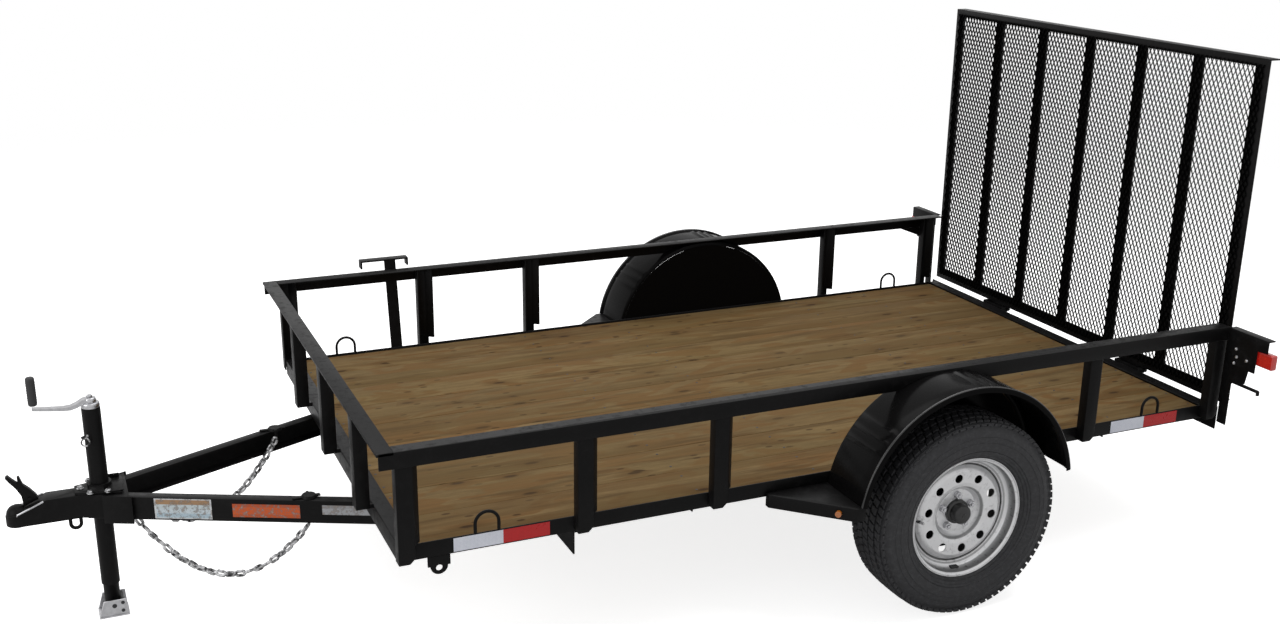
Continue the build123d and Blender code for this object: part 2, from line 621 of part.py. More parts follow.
def gate_knuckles():
    """Barrels under the gate's bottom rail, free on the hinge pins."""
    pieces = []
    for y in HINGE_Y:
        piece = rod((HINGE_X, y - BARREL_HALF, HINGE_Z), (HINGE_X, y + BARREL_HALF, HINGE_Z), BARREL_RADIUS)
        piece += block(HINGE_X - BARREL_RADIUS, HINGE_X + BARREL_RADIUS, y - BARREL_HALF, y + BARREL_HALF,
                       HINGE_Z, GATE_BOTTOM_Z - SEAT)
        piece -= rod((HINGE_X, y - BARREL_HALF - 1, HINGE_Z), (HINGE_X, y + BARREL_HALF + 1, HINGE_Z),
                     PIN_RADIUS + SEAT)
        pieces.append(piece)
    return pieces


def hinge_brackets():
    """Pairs of ears on the rear header, each pair with its pin."""
    pieces = []
    face = FRAME_REAR_X + SEAT
    foot_z = HINGE_Z - 45.0
    inner = BARREL_HALF + MOVING_GAP
    for y in HINGE_Y:
        bracket = block(face, face + ANGLE_WALL, y - inner - EAR_WALL, y + inner + EAR_WALL,
                        foot_z, HINGE_Z + EAR_RADIUS)
        for y0 in (y - inner - EAR_WALL, y + inner):
            outline = ((face, foot_z), (HINGE_X, HINGE_Z - EAR_RADIUS), (HINGE_X, HINGE_Z + EAR_RADIUS),
                       (face, HINGE_Z + EAR_RADIUS))
            bracket += extrude_xz(outline, y0, y0 + EAR_WALL)
            bracket += rod((HINGE_X, y0, HINGE_Z), (HINGE_X, y0 + EAR_WALL, HINGE_Z), EAR_RADIUS)
        end = inner + EAR_WALL + 8.0
        bracket += rod((HINGE_X, y - end, HINGE_Z), (HINGE_X, y + end, HINGE_Z), PIN_RADIUS)
        pieces.append(bracket)
    return pieces


# ---------------------------------------------------------------- jack
def jack_tube():
    leg = rod((JACK_X, 0, 20), (JACK_X, 0, JACK_TOP_Z - 40), JACK_TUBE_RADIUS - 4)
    tube = rod((JACK_X, 0, 110), (JACK_X, 0, JACK_TOP_Z), JACK_TUBE_RADIUS)
    return leg + tube


def jack_foot():
    plate = block(JACK_X - 48, JACK_X + 48, -42, 42, 0, 5)
    cheeks = block(JACK_X - 34, JACK_X + 34, -JACK_TUBE_RADIUS - 5, -JACK_TUBE_RADIUS + 1, 0, 46)
    cheeks += block(JACK_X - 34, JACK_X + 34, JACK_TUBE_RADIUS - 1, JACK_TUBE_RADIUS + 5, 0, 46)
    pin = rod((JACK_X, -JACK_TUBE_RADIUS - 12, 32), (JACK_X, JACK_TUBE_RADIUS + 12, 32), 6)
    foot = plate + cheeks + pin
    return foot - rod((JACK_X, 0, 19.7), (JACK_X, 0, 200), JACK_TUBE_RADIUS - 3.7)


def jack_plate():
    """Mounting plate bolted on the tongue's junction, ring welded round the tube."""
    under = TONGUE_TOP_Z + COUPLER_WALL + 2 * SEAT
    top = under + 8.0
    outline = ((JACK_X - 75, -30), (JACK_X + 60, -70), (JACK_X + 60, 70), (JACK_X - 75, 30))
    plate = extrude_xy(outline, under, top)
    ring = rod((JACK_X, 0, top), (JACK_X, 0, top + 16), JACK_TUBE_RADIUS + 8)
    return plate + ring - jack_bore(SEAT, 0, top + 40)


CRANK_REACH = 145.0


def jack_crank():
    """Cap on the tube and a flat arm that dips between the cap and the grip."""
    cap = rod((JACK_X, 0, JACK_TOP_Z + SEAT), (JACK_X, 0, JACK_TOP_Z + 34), 22)
    # distance forward of the tube, height of the arm's top above the tube
    edge = ((0, 32), (40, 20), (95, 16), (125, 24), (CRANK_REACH - 8, 27), (CRANK_REACH + 12, 27))
    outline = [(JACK_X - ahead, JACK_TOP_Z + rise) for ahead, rise in edge]
    outline += [(JACK_X - ahead, JACK_TOP_Z + rise - 10) for ahead, rise in reversed(edge)]
    return cap + extrude_xz(outline, -11, 11)


def jack_grip():
    x = JACK_X - CRANK_REACH
    return rod((x, 0, JACK_TOP_Z + 27 + SEAT), (x, 0, JACK_TOP_Z + 120), 14)


# ---------------------------------------------------------------- small fittings
# station and side of each lashing loop
TIE_DOWNS = ((325.0, -1), (2800.0, -1), (295.0, 1), (2810.0, 1))


def tie_downs():
    """Bent-rod loops standing on the side rails."""
    loops = []
    for x, side in TIE_DOWNS:
        path = Polyline((-36, 0), (-36, 42), (-20, 64), (20, 64), (36, 42), (36, 0))
        section = Plane(origin=(-36, 0, 0), z_dir=(0, 1, 0)) * RegularPolygon(5.5, 6)
        loop = sweep(section, path=path, transition=Transition.RIGHT)
        y = side * (FRAME_HALF - ANGLE_WALL / 2)
        foot = (x + X_SHIFT, y, DECK_FRAME_Z + ANGLE_LEG + SEAT)
        plane = Plane(origin=foot, x_dir=(1, 0, 0), z_dir=(0, -1, 0))
        loops.append(plane * loop)
    return loops


LIGHT_X = BED_LENGTH - 4.0
LIGHT_SHELF = 32.0
LIGHT_TOP_Z = TOP_RAIL_Z - 2.0
LIGHT_OUTER_Y = 1085.0
LIGHT_FOOT_Z = 440.0
LIGHT_LEG = 40.0             # width of the leg that runs down beside the post
LAMP_INNER_Y = 1040.0
LAMP_OUTER_Y = 1131.0
LAMP_BOTTOM_Z = 697.0
LAMP_TOP_Z = 752.0


def light_bracket():
    """Plate from the rear post to the tail lamp, folded over at its top, with a leg down the post."""
    inner = HALF + SEAT
    leg = HALF + LIGHT_LEG
    # distance from the centre line and height of each corner, from the top rail outwards and down
    edge = ((inner, LIGHT_TOP_Z), (LIGHT_OUTER_Y, LIGHT_TOP_Z), (LIGHT_OUTER_Y, LAMP_TOP_Z + 3),
            (LAMP_INNER_Y, LAMP_TOP_Z), (LAMP_INNER_Y, 668), (1013, 668), (1004, 617), (956, 604),
            (leg, 600), (leg, LIGHT_FOOT_Z), (inner, LIGHT_FOOT_Z))
    plate = extrude_yz([(-y, z) for y, z in edge], LIGHT_X, LIGHT_X + ANGLE_WALL)
    shelf = block(LIGHT_X, LIGHT_X + LIGHT_SHELF, -inner, -LIGHT_OUTER_Y,
                  LIGHT_TOP_Z - ANGLE_WALL, LIGHT_TOP_Z)
    return plate + shelf


LATCH_RADIUS = 6.0
LATCH_Z = 605.0
LATCH_TIP_Y = 1060.0
LATCH_TIP_DROP = 13.0


def latch_rod():
    """Bent rod on the near bracket's back, reaching outwards, with its tip turned down."""
    x = LIGHT_X + ANGLE_WALL + SEAT + LATCH_RADIUS
    bend = (x, -LATCH_TIP_Y, LATCH_Z)
    piece = rod((x, -HALF - LIGHT_LEG - LATCH_RADIUS, LATCH_Z), bend, LATCH_RADIUS)
    piece += Sphere(LATCH_RADIUS).moved(at(*bend))
    return piece + rod(bend, (x, -LATCH_TIP_Y, LATCH_Z - LATCH_TIP_DROP), LATCH_RADIUS)


def tail_lamp():
    """Red lamp at the outer end of its bracket."""
    x0 = LIGHT_X + ANGLE_WALL + SEAT
    return block(x0, x0 + 45, -LAMP_OUTER_Y, -LAMP_INNER_Y + 20, LAMP_BOTTOM_Z, LAMP_TOP_Z)


CARRIER_X = 478.0
CARRIER_TOP_Z = 834.0


def spare_carrier():
    """Leg from the side rail leaning past the top rail, with the wheel bar on its head."""
    wall = 6.0
    foot = FRAME_HALF + SEAT
    knee_z = DECK_FRAME_Z + ANGLE_LEG
    lean = (HALF + SEAT - foot) / (TOP_RAIL_Z - ANGLE_LEG - knee_z)
    head = foot + (CARRIER_TOP_Z - knee_z) * lean
    outline = ((foot, DECK_FRAME_Z), (foot, knee_z), (head, CARRIER_TOP_Z), (head + wall, CARRIER_TOP_Z),
               (foot + wall, knee_z), (foot + wall, DECK_FRAME_Z))
    leg = extrude_yz(outline, CARRIER_X, CARRIER_X + 45)
    bar = block(385, 575, head, head + 40, CARRIER_TOP_Z, CARRIER_TOP_Z + wall)
    for x in (385, 575 - wall):
        bar += block(x, x + wall, head, head + 40, CARRIER_TOP_Z - 26, CARRIER_TOP_Z + wall)
    return leg + bar


TAB_X = 178.0
TAB_DROP = 32.0
TAB_HALF = 34.0
TAB_ROUND = 26.0
TAB_HOLE = 10.0


def chain_tab():
    """Rounded tab with a hole under the near side rail."""
    y0 = -FRAME_HALF
    y1 = y0 + ANGLE_WALL
    z = DECK_FRAME_Z - TAB_DROP
    tab = block(TAB_X - TAB_HALF, TAB_X + TAB_HALF, y0, y1, z, DECK_FRAME_Z - SEAT)
    tab += rod((TAB_X, y0, z), (TAB_X, y1, z), TAB_ROUND)
    hole_z = z - 6.0
    return tab - rod((TAB_X, y0 - ANGLE_WALL, hole_z), (TAB_X, y1 + ANGLE_WALL, hole_z), TAB_HOLE)


def link_outline(straight, reach):
    """Oval about the origin: two straight sides and ends of four chords each."""
    points = []
    for side in (1, -1):
        for turn in (-90, -45, 0, 45, 90):
            angle = radians(turn)
            points.append((side * (straight + reach * cos(angle)), side * reach * sin(angle)))
    return Polyline(*points, close=True)


def chain_link(length, width, radius):
    """One oval link lying along its own X axis, its wire eight-sided."""
    straight = (length - width) / 2
    face = make_face(link_outline(straight, width / 2))
    face -= make_face(link_outline(straight, width / 2 - 2 * radius))
    ring = extrude(face, radius, both=True)
    ends = ring.faces().sort_by(Axis.Z)
    return chamfer(ends[0].edges() + ends[-1].edges(), 0.55 * radius)


def chain(points, pitch, width, radius):
    """Links strung along a polyline of stations, each turned a quarter from the last."""
    runs = [(Vector(*a), Vector(*b)) for a, b in zip(points, points[1:])]
    total = sum((b - a).length for a, b in runs)
    count = int(total // pitch)
    step = total / count
    link = chain_link(step + 2 * radius - 0.8, width, radius)
    links = []
    for index in range(count):
        want = (index + 0.5) * step
        for a, b in runs:
            run = (b - a).length
            if want <= run:
                break
            want -= run
        middle = a + (b - a) * (want / run)
        along = (b - a).normalized()
        side = along.cross(Vector(0, 0, 1)).normalized()
        if index % 2:
            side = along.cross(side).normalized()
        plane = Plane(origin=(middle.X + X_SHIFT, middle.Y, middle.Z), x_dir=along, z_dir=side)
        links.append(plane * link)
    return links


def hanging(start, end, drop, count):
    """Stations of a chain that sags between two points."""
    points = []
    for index in range(count + 1):
        t = index / count
        x = start[0] + (end[0] - start[0]) * t
        y = start[1] + (end[1] - start[1]) * t
        z = start[2] + (end[2] - start[2]) * t - drop * 4 * t * (1 - t)
        points.append((x, y, z))
    return points


CHAIN_PITCH = 30.0
CHAIN_WIDTH = 26.0
CHAIN_RADIUS = 3.6
CHAIN_FRONT = (-590.0, -70.0, 351.0)
HOOK_X = -85.0
HOOK_RADIUS = 5.0
HOOK_Y = tongue_half(HOOK_X) - CHANNEL_FLANGE * ACROSS - 18.0
NEAR_CHAIN_SAG = 190.0
FAR_CHAIN_SAG = 190.0
NEAR_HOOK_DROP = 100.0
FAR_HOOK_DROP = 14.0
HOOK_TO_LINK = 4.5           # the last link hangs this far below its hook's shank


def chain_hook(side, drop):
    """Bent rod over the inner edge of an arm's top flange, its shank down beside the edge."""
    seat_z = TONGUE_TOP_Z + HOOK_RADIUS + SEAT
    top = (HOOK_X, side * HOOK_Y, seat_z)
    hook = rod((HOOK_X, side * HOOK_Y, TONGUE_TOP_Z - drop), top, HOOK_RADIUS)
    hook += Sphere(HOOK_RADIUS).moved(at(*top))
    return hook + rod(top, (HOOK_X, side * (HOOK_Y + 42.0), seat_z), HOOK_RADIUS)


def build():
    export("side_rail_left", [side_rail()])
    export("side_rail_right", [mirrored(side_rail())])
    export("header_front", [header(FRAME_FRONT_X, 1, FRAME_HALF, TONGUE_TOP_Z + SEAT)])
    wide = HALF - 2 * (ANGLE_WALL + SEAT)
    export("header_rear", [header(FRAME_REAR_X, -1, wide, DECK_FRAME_Z - REAR_HEADER_DROP)])
    export("crossmembers", crossmembers())
    export("crossmember_tongue", [under_member(TONGUE_REAR_X, CHANNEL_HEIGHT)])
    export("deck_boards", deck_boards())
    export("posts_left", side_posts(NEAR_POST_X))
    export("posts_right", [mirrored(post) for post in side_posts(FAR_POST_X)])
    export("gusset", [gusset()])
    export("posts_front", front_posts())
    export("top_rail_left", [top_rail_side()])
    export("top_rail_right", [mirrored(top_rail_side())])
    export("top_rail_front", [top_rail_front()])
    export("tongue_arm_left", [tongue_arm()])
    export("tongue_arm_right", [mirrored(tongue_arm())])
    export("coupler", [coupler()])
    export("coupler_latch", [coupler_latch()])
    export("tire_left", [tire()])
    export("tire_right", [mirrored(tire())])
    export("rim_left", [rim()])
    export("rim_right", [mirrored(rim())])
    export("hub_left", [hub()])
    export("hub_right", [mirrored(hub())])
    export("axle_beam", [axle_beam()])
    export("leaf_spring_left", [leaf_spring()])
    export("leaf_spring_right", [mirrored(leaf_spring())])
    hangers = spring_hangers()
    export("spring_hangers", hangers + [mirrored(piece) for piece in hangers])
    export("spring_plates", [spring_plate(), mirrored(spring_plate())])
    export("fender_left", [fender()])
    export("fender_right", [mirrored(fender())])
    export("fender_brace_left", [fender_brace()])
    export("fender_brace_right", [mirrored(fender_brace())])
    export("gate_frame", [gate_frame()])
    export("gate_mesh", [gate_mesh()])
    export("gate_knuckles", gate_knuckles())
    export("hinge_brackets", hinge_brackets())
    export("jack_tube", [jack_tube()])
    export("jack_foot", [jack_foot()])
    export("jack_plate", [jack_plate()])
    export("jack_crank", [jack_crank()])
    export("jack_grip", [jack_grip()])
    export("tie_downs", tie_downs())
    export("light_bracket_left", [light_bracket()])
    export("light_bracket_right", [mirrored(light_bracket())])
    export("tail_lamp_left", [tail_lamp()])
    export("tail_lamp_right", [mirrored(tail_lamp())])
    export("latch_rod", [latch_rod()])
    export("marker_lamps", [marker_lamp(), mirrored(marker_lamp())])
    export("spare_carrier", [spare_carrier()])
    export("chain_tab", [chain_tab()])
    export("chain_hooks", [chain_hook(-1, NEAR_HOOK_DROP), chain_hook(1, FAR_HOOK_DROP)])
    end = (HOOK_X, -HOOK_Y, TONGUE_TOP_Z - NEAR_HOOK_DROP - HOOK_TO_LINK)
    route = hanging(CHAIN_FRONT, end, NEAR_CHAIN_SAG, 12)
    export("safety_chain_left", chain(route, CHAIN_PITCH, CHAIN_WIDTH, CHAIN_RADIUS))
    far_front = (CHAIN_FRONT[0], -CHAIN_FRONT[1], CHAIN_FRONT[2] - 2.5)
    end = (HOOK_X, HOOK_Y, TONGUE_TOP_Z - FAR_HOOK_DROP - HOOK_TO_LINK)
    route = hanging(far_front, end, FAR_CHAIN_SAG, 12)
    export("safety_chain_right", chain(route, CHAIN_PITCH, CHAIN_WIDTH, CHAIN_RADIUS))


build()
for name, solids in OUTPUT:
    print(name, solids)
print("x shift", X_SHIFT)
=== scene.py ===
import math
import random

import bmesh
import bpy
from mathutils import Matrix, Vector


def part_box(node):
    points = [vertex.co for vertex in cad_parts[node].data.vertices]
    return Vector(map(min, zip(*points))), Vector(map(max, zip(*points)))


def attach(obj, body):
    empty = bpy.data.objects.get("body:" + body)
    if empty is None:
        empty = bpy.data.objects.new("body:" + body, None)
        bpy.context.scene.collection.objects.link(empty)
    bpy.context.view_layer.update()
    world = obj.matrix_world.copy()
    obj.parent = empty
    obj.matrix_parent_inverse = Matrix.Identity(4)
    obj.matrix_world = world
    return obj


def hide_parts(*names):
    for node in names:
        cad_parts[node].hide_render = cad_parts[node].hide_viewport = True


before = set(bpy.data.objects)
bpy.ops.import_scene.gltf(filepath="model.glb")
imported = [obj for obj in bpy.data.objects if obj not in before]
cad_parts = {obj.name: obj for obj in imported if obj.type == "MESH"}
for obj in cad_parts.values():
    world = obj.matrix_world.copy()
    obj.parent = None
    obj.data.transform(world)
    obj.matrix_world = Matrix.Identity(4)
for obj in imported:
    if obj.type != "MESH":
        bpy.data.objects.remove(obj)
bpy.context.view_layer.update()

bl_info = {
    "name": "Ramp-Gate Utility Trailer",
    "version": (1, 0, 0),
    "blender": (4, 5, 0),
    "location": "View3D > Sidebar > Trailer",
    "description": "Dresses the trailer's frame with its finished pieces and sets up a studio",
    "category": "Object",
}

# ------------------------------------------------------------------ places taken from the frame
SIDES = (("left", -1), ("right", 1))
ROOT = "frame"


def middle(node):
    low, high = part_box(node)
    return (low + high) / 2


WHEEL = {side: middle("tire_" + side) for side, _ in SIDES}
TIRE_LOW, TIRE_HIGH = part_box("tire_left")
TIRE_RADIUS = (TIRE_HIGH.z - TIRE_LOW.z) / 2
TIRE_HALF_WIDTH = (TIRE_HIGH.y - TIRE_LOW.y) / 2
RIM_LOW, RIM_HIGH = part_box("rim_left")
RIM_RADIUS = (RIM_HIGH.z - RIM_LOW.z) / 2
RIM_HALF_WIDTH = (RIM_HIGH.y - RIM_LOW.y) / 2
FENDER_LOW, FENDER_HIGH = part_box("fender_left")
DECK_LOW, DECK_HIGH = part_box("deck_boards")
MESH_LOW, MESH_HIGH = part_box("gate_mesh")
RAIL_LOW, RAIL_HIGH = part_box("side_rail_left")
ARM_LOW, ARM_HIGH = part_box("tongue_arm_left")
JACK_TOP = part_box("jack_tube")[1].z
JACK = middle("jack_tube")
BED_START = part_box("top_rail_front")[0].x
# each tongue arm leans from the centre line, and is this far from it at the front of the bed
TONGUE_LEAN = math.radians(25)
TONGUE_SLOPE = math.tan(TONGUE_LEAN)
TONGUE_SPREAD = 0.374
ON_SIDE = Matrix.Rotation(math.radians(90), 4, "X")


# ------------------------------------------------------------------ the sizes and colours a user may change
class TrailerLook(bpy.types.PropertyGroup):
    paint: bpy.props.FloatVectorProperty(
        name="Paint", description="Powder coat of the frame", subtype="COLOR", size=3,
        default=(0.0048, 0.0046, 0.0047), min=0, max=1)
    timber: bpy.props.FloatVectorProperty(
        name="Timber", description="Middle tone of the treated boards", subtype="COLOR", size=3,
        default=(0.142, 0.094, 0.041), min=0, max=1)
    rubber: bpy.props.FloatVectorProperty(
        name="Rubber", description="Colour of the tyres", subtype="COLOR", size=3,
        default=(0.016, 0.016, 0.0175), min=0, max=1)
    wheel_silver: bpy.props.FloatVectorProperty(
        name="Wheel silver", description="Paint of the wheel rims", subtype="COLOR", size=3,
        default=(0.72, 0.72, 0.73), min=0, max=1)
    edge: bpy.props.FloatProperty(
        name="Steel edge", description="Radius on the edges of rolled steel", unit="LENGTH",
        default=0.0013, min=0.0002, max=0.003)
    board_edge: bpy.props.FloatProperty(
        name="Board edge", description="Rounding of the boards' long edges", unit="LENGTH",
        default=0.0018, min=0.001, max=0.01)
    board_gap: bpy.props.FloatProperty(
        name="Board gap", description="Gap between two boards", unit="LENGTH",
        default=0.0014, min=0.001, max=0.012)
    board_count: bpy.props.IntProperty(
        name="Boards", description="Number of deck boards", default=9, min=5, max=15)
    mesh_wide: bpy.props.FloatProperty(
        name="Mesh width", description="Short way of a diamond in the gate's sheet", unit="LENGTH",
        default=0.0203, min=0.01, max=0.06)
    mesh_tall: bpy.props.FloatProperty(
        name="Mesh height", description="Long way of a diamond in the gate's sheet", unit="LENGTH",
        default=0.0365, min=0.02, max=0.1)
    mesh_strand: bpy.props.FloatProperty(
        name="Mesh strand", description="Width of a strand across the gate's sheet", unit="LENGTH",
        default=0.004, min=0.001, max=0.02)
    mesh_depth: bpy.props.FloatProperty(
        name="Mesh depth", description="How far the twisted strands stand through the gate's sheet",
        unit="LENGTH", default=0.0102, min=0.001, max=0.02)


def look():
    return bpy.context.scene.trailer_look


# ------------------------------------------------------------------ shader expressions
class Signal:
    """A socket of a material, on which maths is written as plain expressions."""

    def __init__(self, finish, socket):
        self.finish = finish
        self.socket = socket

    def maths(self, operation, other=0.0, swapped=False):
        first, second = (other, self) if swapped else (self, other)
        return self.finish.node("Math", {"operation": operation}, {0: first, 1: second})

    def __add__(self, other):
        return self.maths("ADD", other)

    def __radd__(self, other):
        return self.maths("ADD", other)

    def __sub__(self, other):
        return self.maths("SUBTRACT", other)

    def __rsub__(self, other):
        return self.maths("SUBTRACT", other, swapped=True)

    def __mul__(self, other):
        return self.maths("MULTIPLY", other)

    def __rmul__(self, other):
        return self.maths("MULTIPLY", other)

    def __truediv__(self, other):
        return self.maths("DIVIDE", other)

    def __pow__(self, other):
        return self.maths("POWER", other)

    def above(self, edge, soft):
        """0 below the edge, 1 above it, with a soft step between."""
        return self.finish.node("MapRange", {"interpolation_type": "SMOOTHSTEP"},
                                {"Value": self, "From Min": edge - soft, "From Max": edge + soft})


class Finish:
    """One procedural material, built from nodes by short calls."""

    def __init__(self, name):
        self.material = bpy.data.materials.new(name)
        self.material.use_nodes = True
        self.tree = self.material.node_tree
        self.shader = self.tree.nodes["Principled BSDF"]

    def node(self, kind, settings=None, inputs=None, output=0):
        made = self.tree.nodes.new("ShaderNode" + kind)
        for name, value in (settings or {}).items():
            if name == "stops":
                self.fill_ramp(made.color_ramp, value)
            else:
                setattr(made, name, value)
        for name, value in (inputs or {}).items():
            self.feed(made.inputs[name], value)
        return Signal(self, made.outputs[output])

    @staticmethod
    def fill_ramp(ramp, stops):
        while len(ramp.elements) < len(stops):
            ramp.elements.new(1.0)
        for element, (place, colour) in zip(ramp.elements, stops):
            element.position = place
            element.color = (*colour, 1.0)

    def feed(self, socket, value):
        if isinstance(value, Signal):
            self.tree.links.new(value.socket, socket)
        elif isinstance(value, tuple) and len(value) == 3 and socket.type == "RGBA":
            socket.default_value = (*value, 1.0)
        else:
            socket.default_value = value

    def set(self, **values):
        """Sets or links the shader's own sockets, with spaces written as underscores."""
        for name, value in values.items():
            self.feed(self.shader.inputs[name.replace("_", " ")], value)
        return self

    def place(self):
        return self.node("TexCoord", output="Object")

    def stretched(self, where, *scale):
        return self.node("Mapping", {}, {"Vector": where, "Scale": scale})

    def noise(self, where, scale, detail=3.0, roughness=0.55, distortion=0.0):
        return self.node("TexNoise", {}, {"Vector": where, "Scale": scale, "Detail": detail,
                                          "Roughness": roughness, "Distortion": distortion})

    def mix(self, share, first, second):
        return self.node("Mix", {"data_type": "RGBA"}, {0: share, 6: first, 7: second}, output=2)

    def bump(self, height, distance, strength=1.0):
        normal = self.node("Bump", {}, {"Height": height, "Distance": distance, "Strength": strength})
        return self.set(Normal=normal)


FINISHES = {}


def finish_for(name):
    """The material of that name, made the first time that it is asked for."""
    if name not in FINISHES:
        FINISHES[name] = FINISH_MAKERS[name](name).material
    return FINISHES[name]


def times(colour, factor):
    return tuple(min(1.0, channel * factor) for channel in colour)


def tinted(colour, *factors):
    return tuple(channel * factor for channel, factor in zip(colour, factors))


def powder_coat(name):
    """Semi-gloss black powder coat: orange peel, faint dust and uneven gloss."""
    base = tuple(look().paint)
    f = Finish(name)
    where = f.place()
    patch = f.noise(where, 5.0, 5.0)
    dust = f.noise(where, 38.0, 6.0, 0.65).above(0.58, 0.1)
    peel = f.noise(where, 620.0, 2.0)
    colour = f.mix(dust * 0.35, f.mix(patch, times(base, 0.7), times(base, 1.3)), times(base, 2.4))
    f.set(Base_Color=colour, Roughness=0.34 + patch * 0.12 + dust * 0.16)
    f.set(Specular_IOR_Level=0.09)
    return f.bump(peel, 0.0003, 0.35)


def fender_enamel(name):
    """Glossy black enamel with long soft ripples in the rolled sheet."""
    base = tuple(look().paint)
    f = Finish(name)
    where = f.place()
    patch = f.noise(where, 7.0, 4.0)
    specks = f.noise(where, 260.0, 3.0).above(0.68, 0.05)
    f.set(Base_Color=f.mix(specks * 0.3, times(base, 0.8), times(base, 4.0)),
          Roughness=0.13 + patch * 0.1 + specks * 0.2)
    f.set(Specular_IOR_Level=0.035)
    return f.bump(f.noise(where, 9.0, 2.0) + f.noise(where, 500.0, 1.0) * 0.02, 0.003, 0.3)


def lip_enamel(name):
    """Gloss black of the fenders' wired lips, lighter and rougher in random patches."""
    base = tuple(look().paint)
    f = Finish(name)
    worn = f.noise(f.place(), 16.0, 4.0)
    f.set(Base_Color=f.mix(worn, base, times(base, 5.0)), Roughness=0.12 + worn.above(0.5, 0.1) * 0.25)
    f.set(Specular_IOR_Level=0.6)
    return f.bump(worn, 0.0004, 0.3)


def mesh_paint(name):
    """Thin black paint on the expanded sheet, greyer in random patches."""
    base = tuple(look().paint)
    f = Finish(name)
    where = f.place()
    patch = f.noise(where, 60.0, 4.0)
    f.set(Base_Color=f.mix(patch, base, times(base, 2.2)), Roughness=0.42 + patch * 0.15)
    f.set(Specular_IOR_Level=0.1)
    return f.bump(f.noise(where, 700.0, 2.0), 0.0003, 0.3)


def treated_timber(name):
    """Pressure-treated pine: long streaks, cathedral grain, knots and drying marks on each board."""
    base = tuple(look().timber)
    f = Finish(name)
    tone = f.node("Attribute", {"attribute_name": "tone"}, output="Fac")
    shift = f.node("CombineXYZ", {}, {"X": tone * 17.3, "Y": tone * 3.1, "Z": tone * 5.7})
    where = f.node("TexCoord", output="Object")
    moved = f.node("VectorMath", {"operation": "ADD"}, {0: where, 1: shift})
    long_way = f.stretched(moved, 0.55, 9.0, 9.0)
    fine_way = f.stretched(moved, 2.2, 95.0, 60.0)
    knot_way = f.stretched(moved, 5.2, 14.5, 3.0)
    warp = f.noise(f.stretched(moved, 1.6, 5.0, 5.0), 1.0, 3.0)
    rings = f.node("TexWave", {"wave_type": "BANDS", "bands_direction": "Y", "wave_profile": "SAW"},
                   {"Vector": long_way, "Scale": 1.15, "Distortion": 6.5, "Detail": 3.0,
                    "Detail Scale": 0.9, "Detail Roughness": 0.6})
    streaks = f.noise(fine_way, 1.0, 5.0, 0.6)
    broad = f.noise(long_way, 1.3, 4.0, 0.6, 0.6)
    flat = {"feature": "F1", "voronoi_dimensions": "2D"}
    cell = f.node("TexVoronoi", flat, {"Vector": knot_way, "Scale": 1.0})
    lone = f.node("TexVoronoi", flat, {"Vector": knot_way, "Scale": 1.0}, output="Color")
    chosen = f.node("SeparateColor", {}, {"Color": lone}).above(0.82, 0.02)
    knot = (1.0 - (cell + warp * 0.1).above(0.17, 0.05)) * chosen
    halo = (1.0 - (cell + warp * 0.12).above(0.38, 0.2)) * chosen
    speck_way = f.stretched(moved, 15.0, 36.0, 20.0)
    speck = f.node("TexVoronoi", flat, {"Vector": speck_way, "Scale": 1.0})
    lot = f.node("TexVoronoi", flat, {"Vector": speck_way, "Scale": 1.0}, output="Color")
    crowd = f.noise(f.stretched(moved, 1.1, 3.2, 3.0), 1.0, 2.0).above(0.5, 0.08)
    picked = f.node("SeparateColor", {}, {"Color": lot}).above(0.86, 0.02)
    speck = (1.0 - (speck + warp * 0.1).above(0.25, 0.06)) * picked * crowd
    green = f.noise(f.stretched(moved, 1.2, 3.0, 3.0), 1.6, 3.0)
    dark = f.noise(f.stretched(moved, 1.5, 16.0, 10.0), 1.4, 4.0, 0.6).above(0.6, 0.08)
    mottle = f.noise(f.stretched(moved, 9.0, 30.0, 24.0), 1.5, 4.0, 0.7)
    stain = f.noise(f.stretched(moved, 3.6, 11.0, 9.0), 1.0, 2.0, 0.5, 1.4).above(0.52, 0.05)
    heart = f.noise(f.stretched(moved, 0.45, 8.5, 8.0), 1.0, 2.0, 0.5, 0.5).above(0.55, 0.05)
    colour = f.mix(broad * 1.2 + mottle * 1.1 - 0.6, times(base, 0.55), times(base, 1.66))
    colour = f.mix(stain * 0.85, colour, tinted(base, 0.96, 0.66, 0.42))
    colour = f.mix(heart * 0.72, colour, tinted(base, 0.6, 0.48, 0.34))
    colour = f.mix(rings * 0.32, colour, tinted(base, 0.66, 0.58, 0.45))
    colour = f.mix((streaks - 0.3) * 0.8, colour, tinted(base, 1.35, 1.33, 1.35))
    colour = f.mix(green.above(0.55, 0.15) * 0.25, colour, tinted(base, 0.86, 1.02, 0.9))
    colour = f.mix(dark * 0.7, colour, tinted(base, 0.45, 0.38, 0.3))
    colour = f.mix(halo * 0.6, colour, tinted(base, 0.6, 0.46, 0.32))
    colour = f.mix(speck * 0.8, colour, tinted(base, 0.22, 0.15, 0.1))
    colour = f.mix(knot * 0.95, colour, tinted(base, 0.22, 0.16, 0.12))
    colour = f.mix(tone * 0.4, colour, times(base, 0.78))
    f.set(Base_Color=colour, Roughness=0.72 + streaks * 0.18)
    f.set(Specular_IOR_Level=0.12)
    height = streaks * 0.6 + rings * 0.25 - knot * 0.4
    return f.bump(height, 0.0012, 0.6)


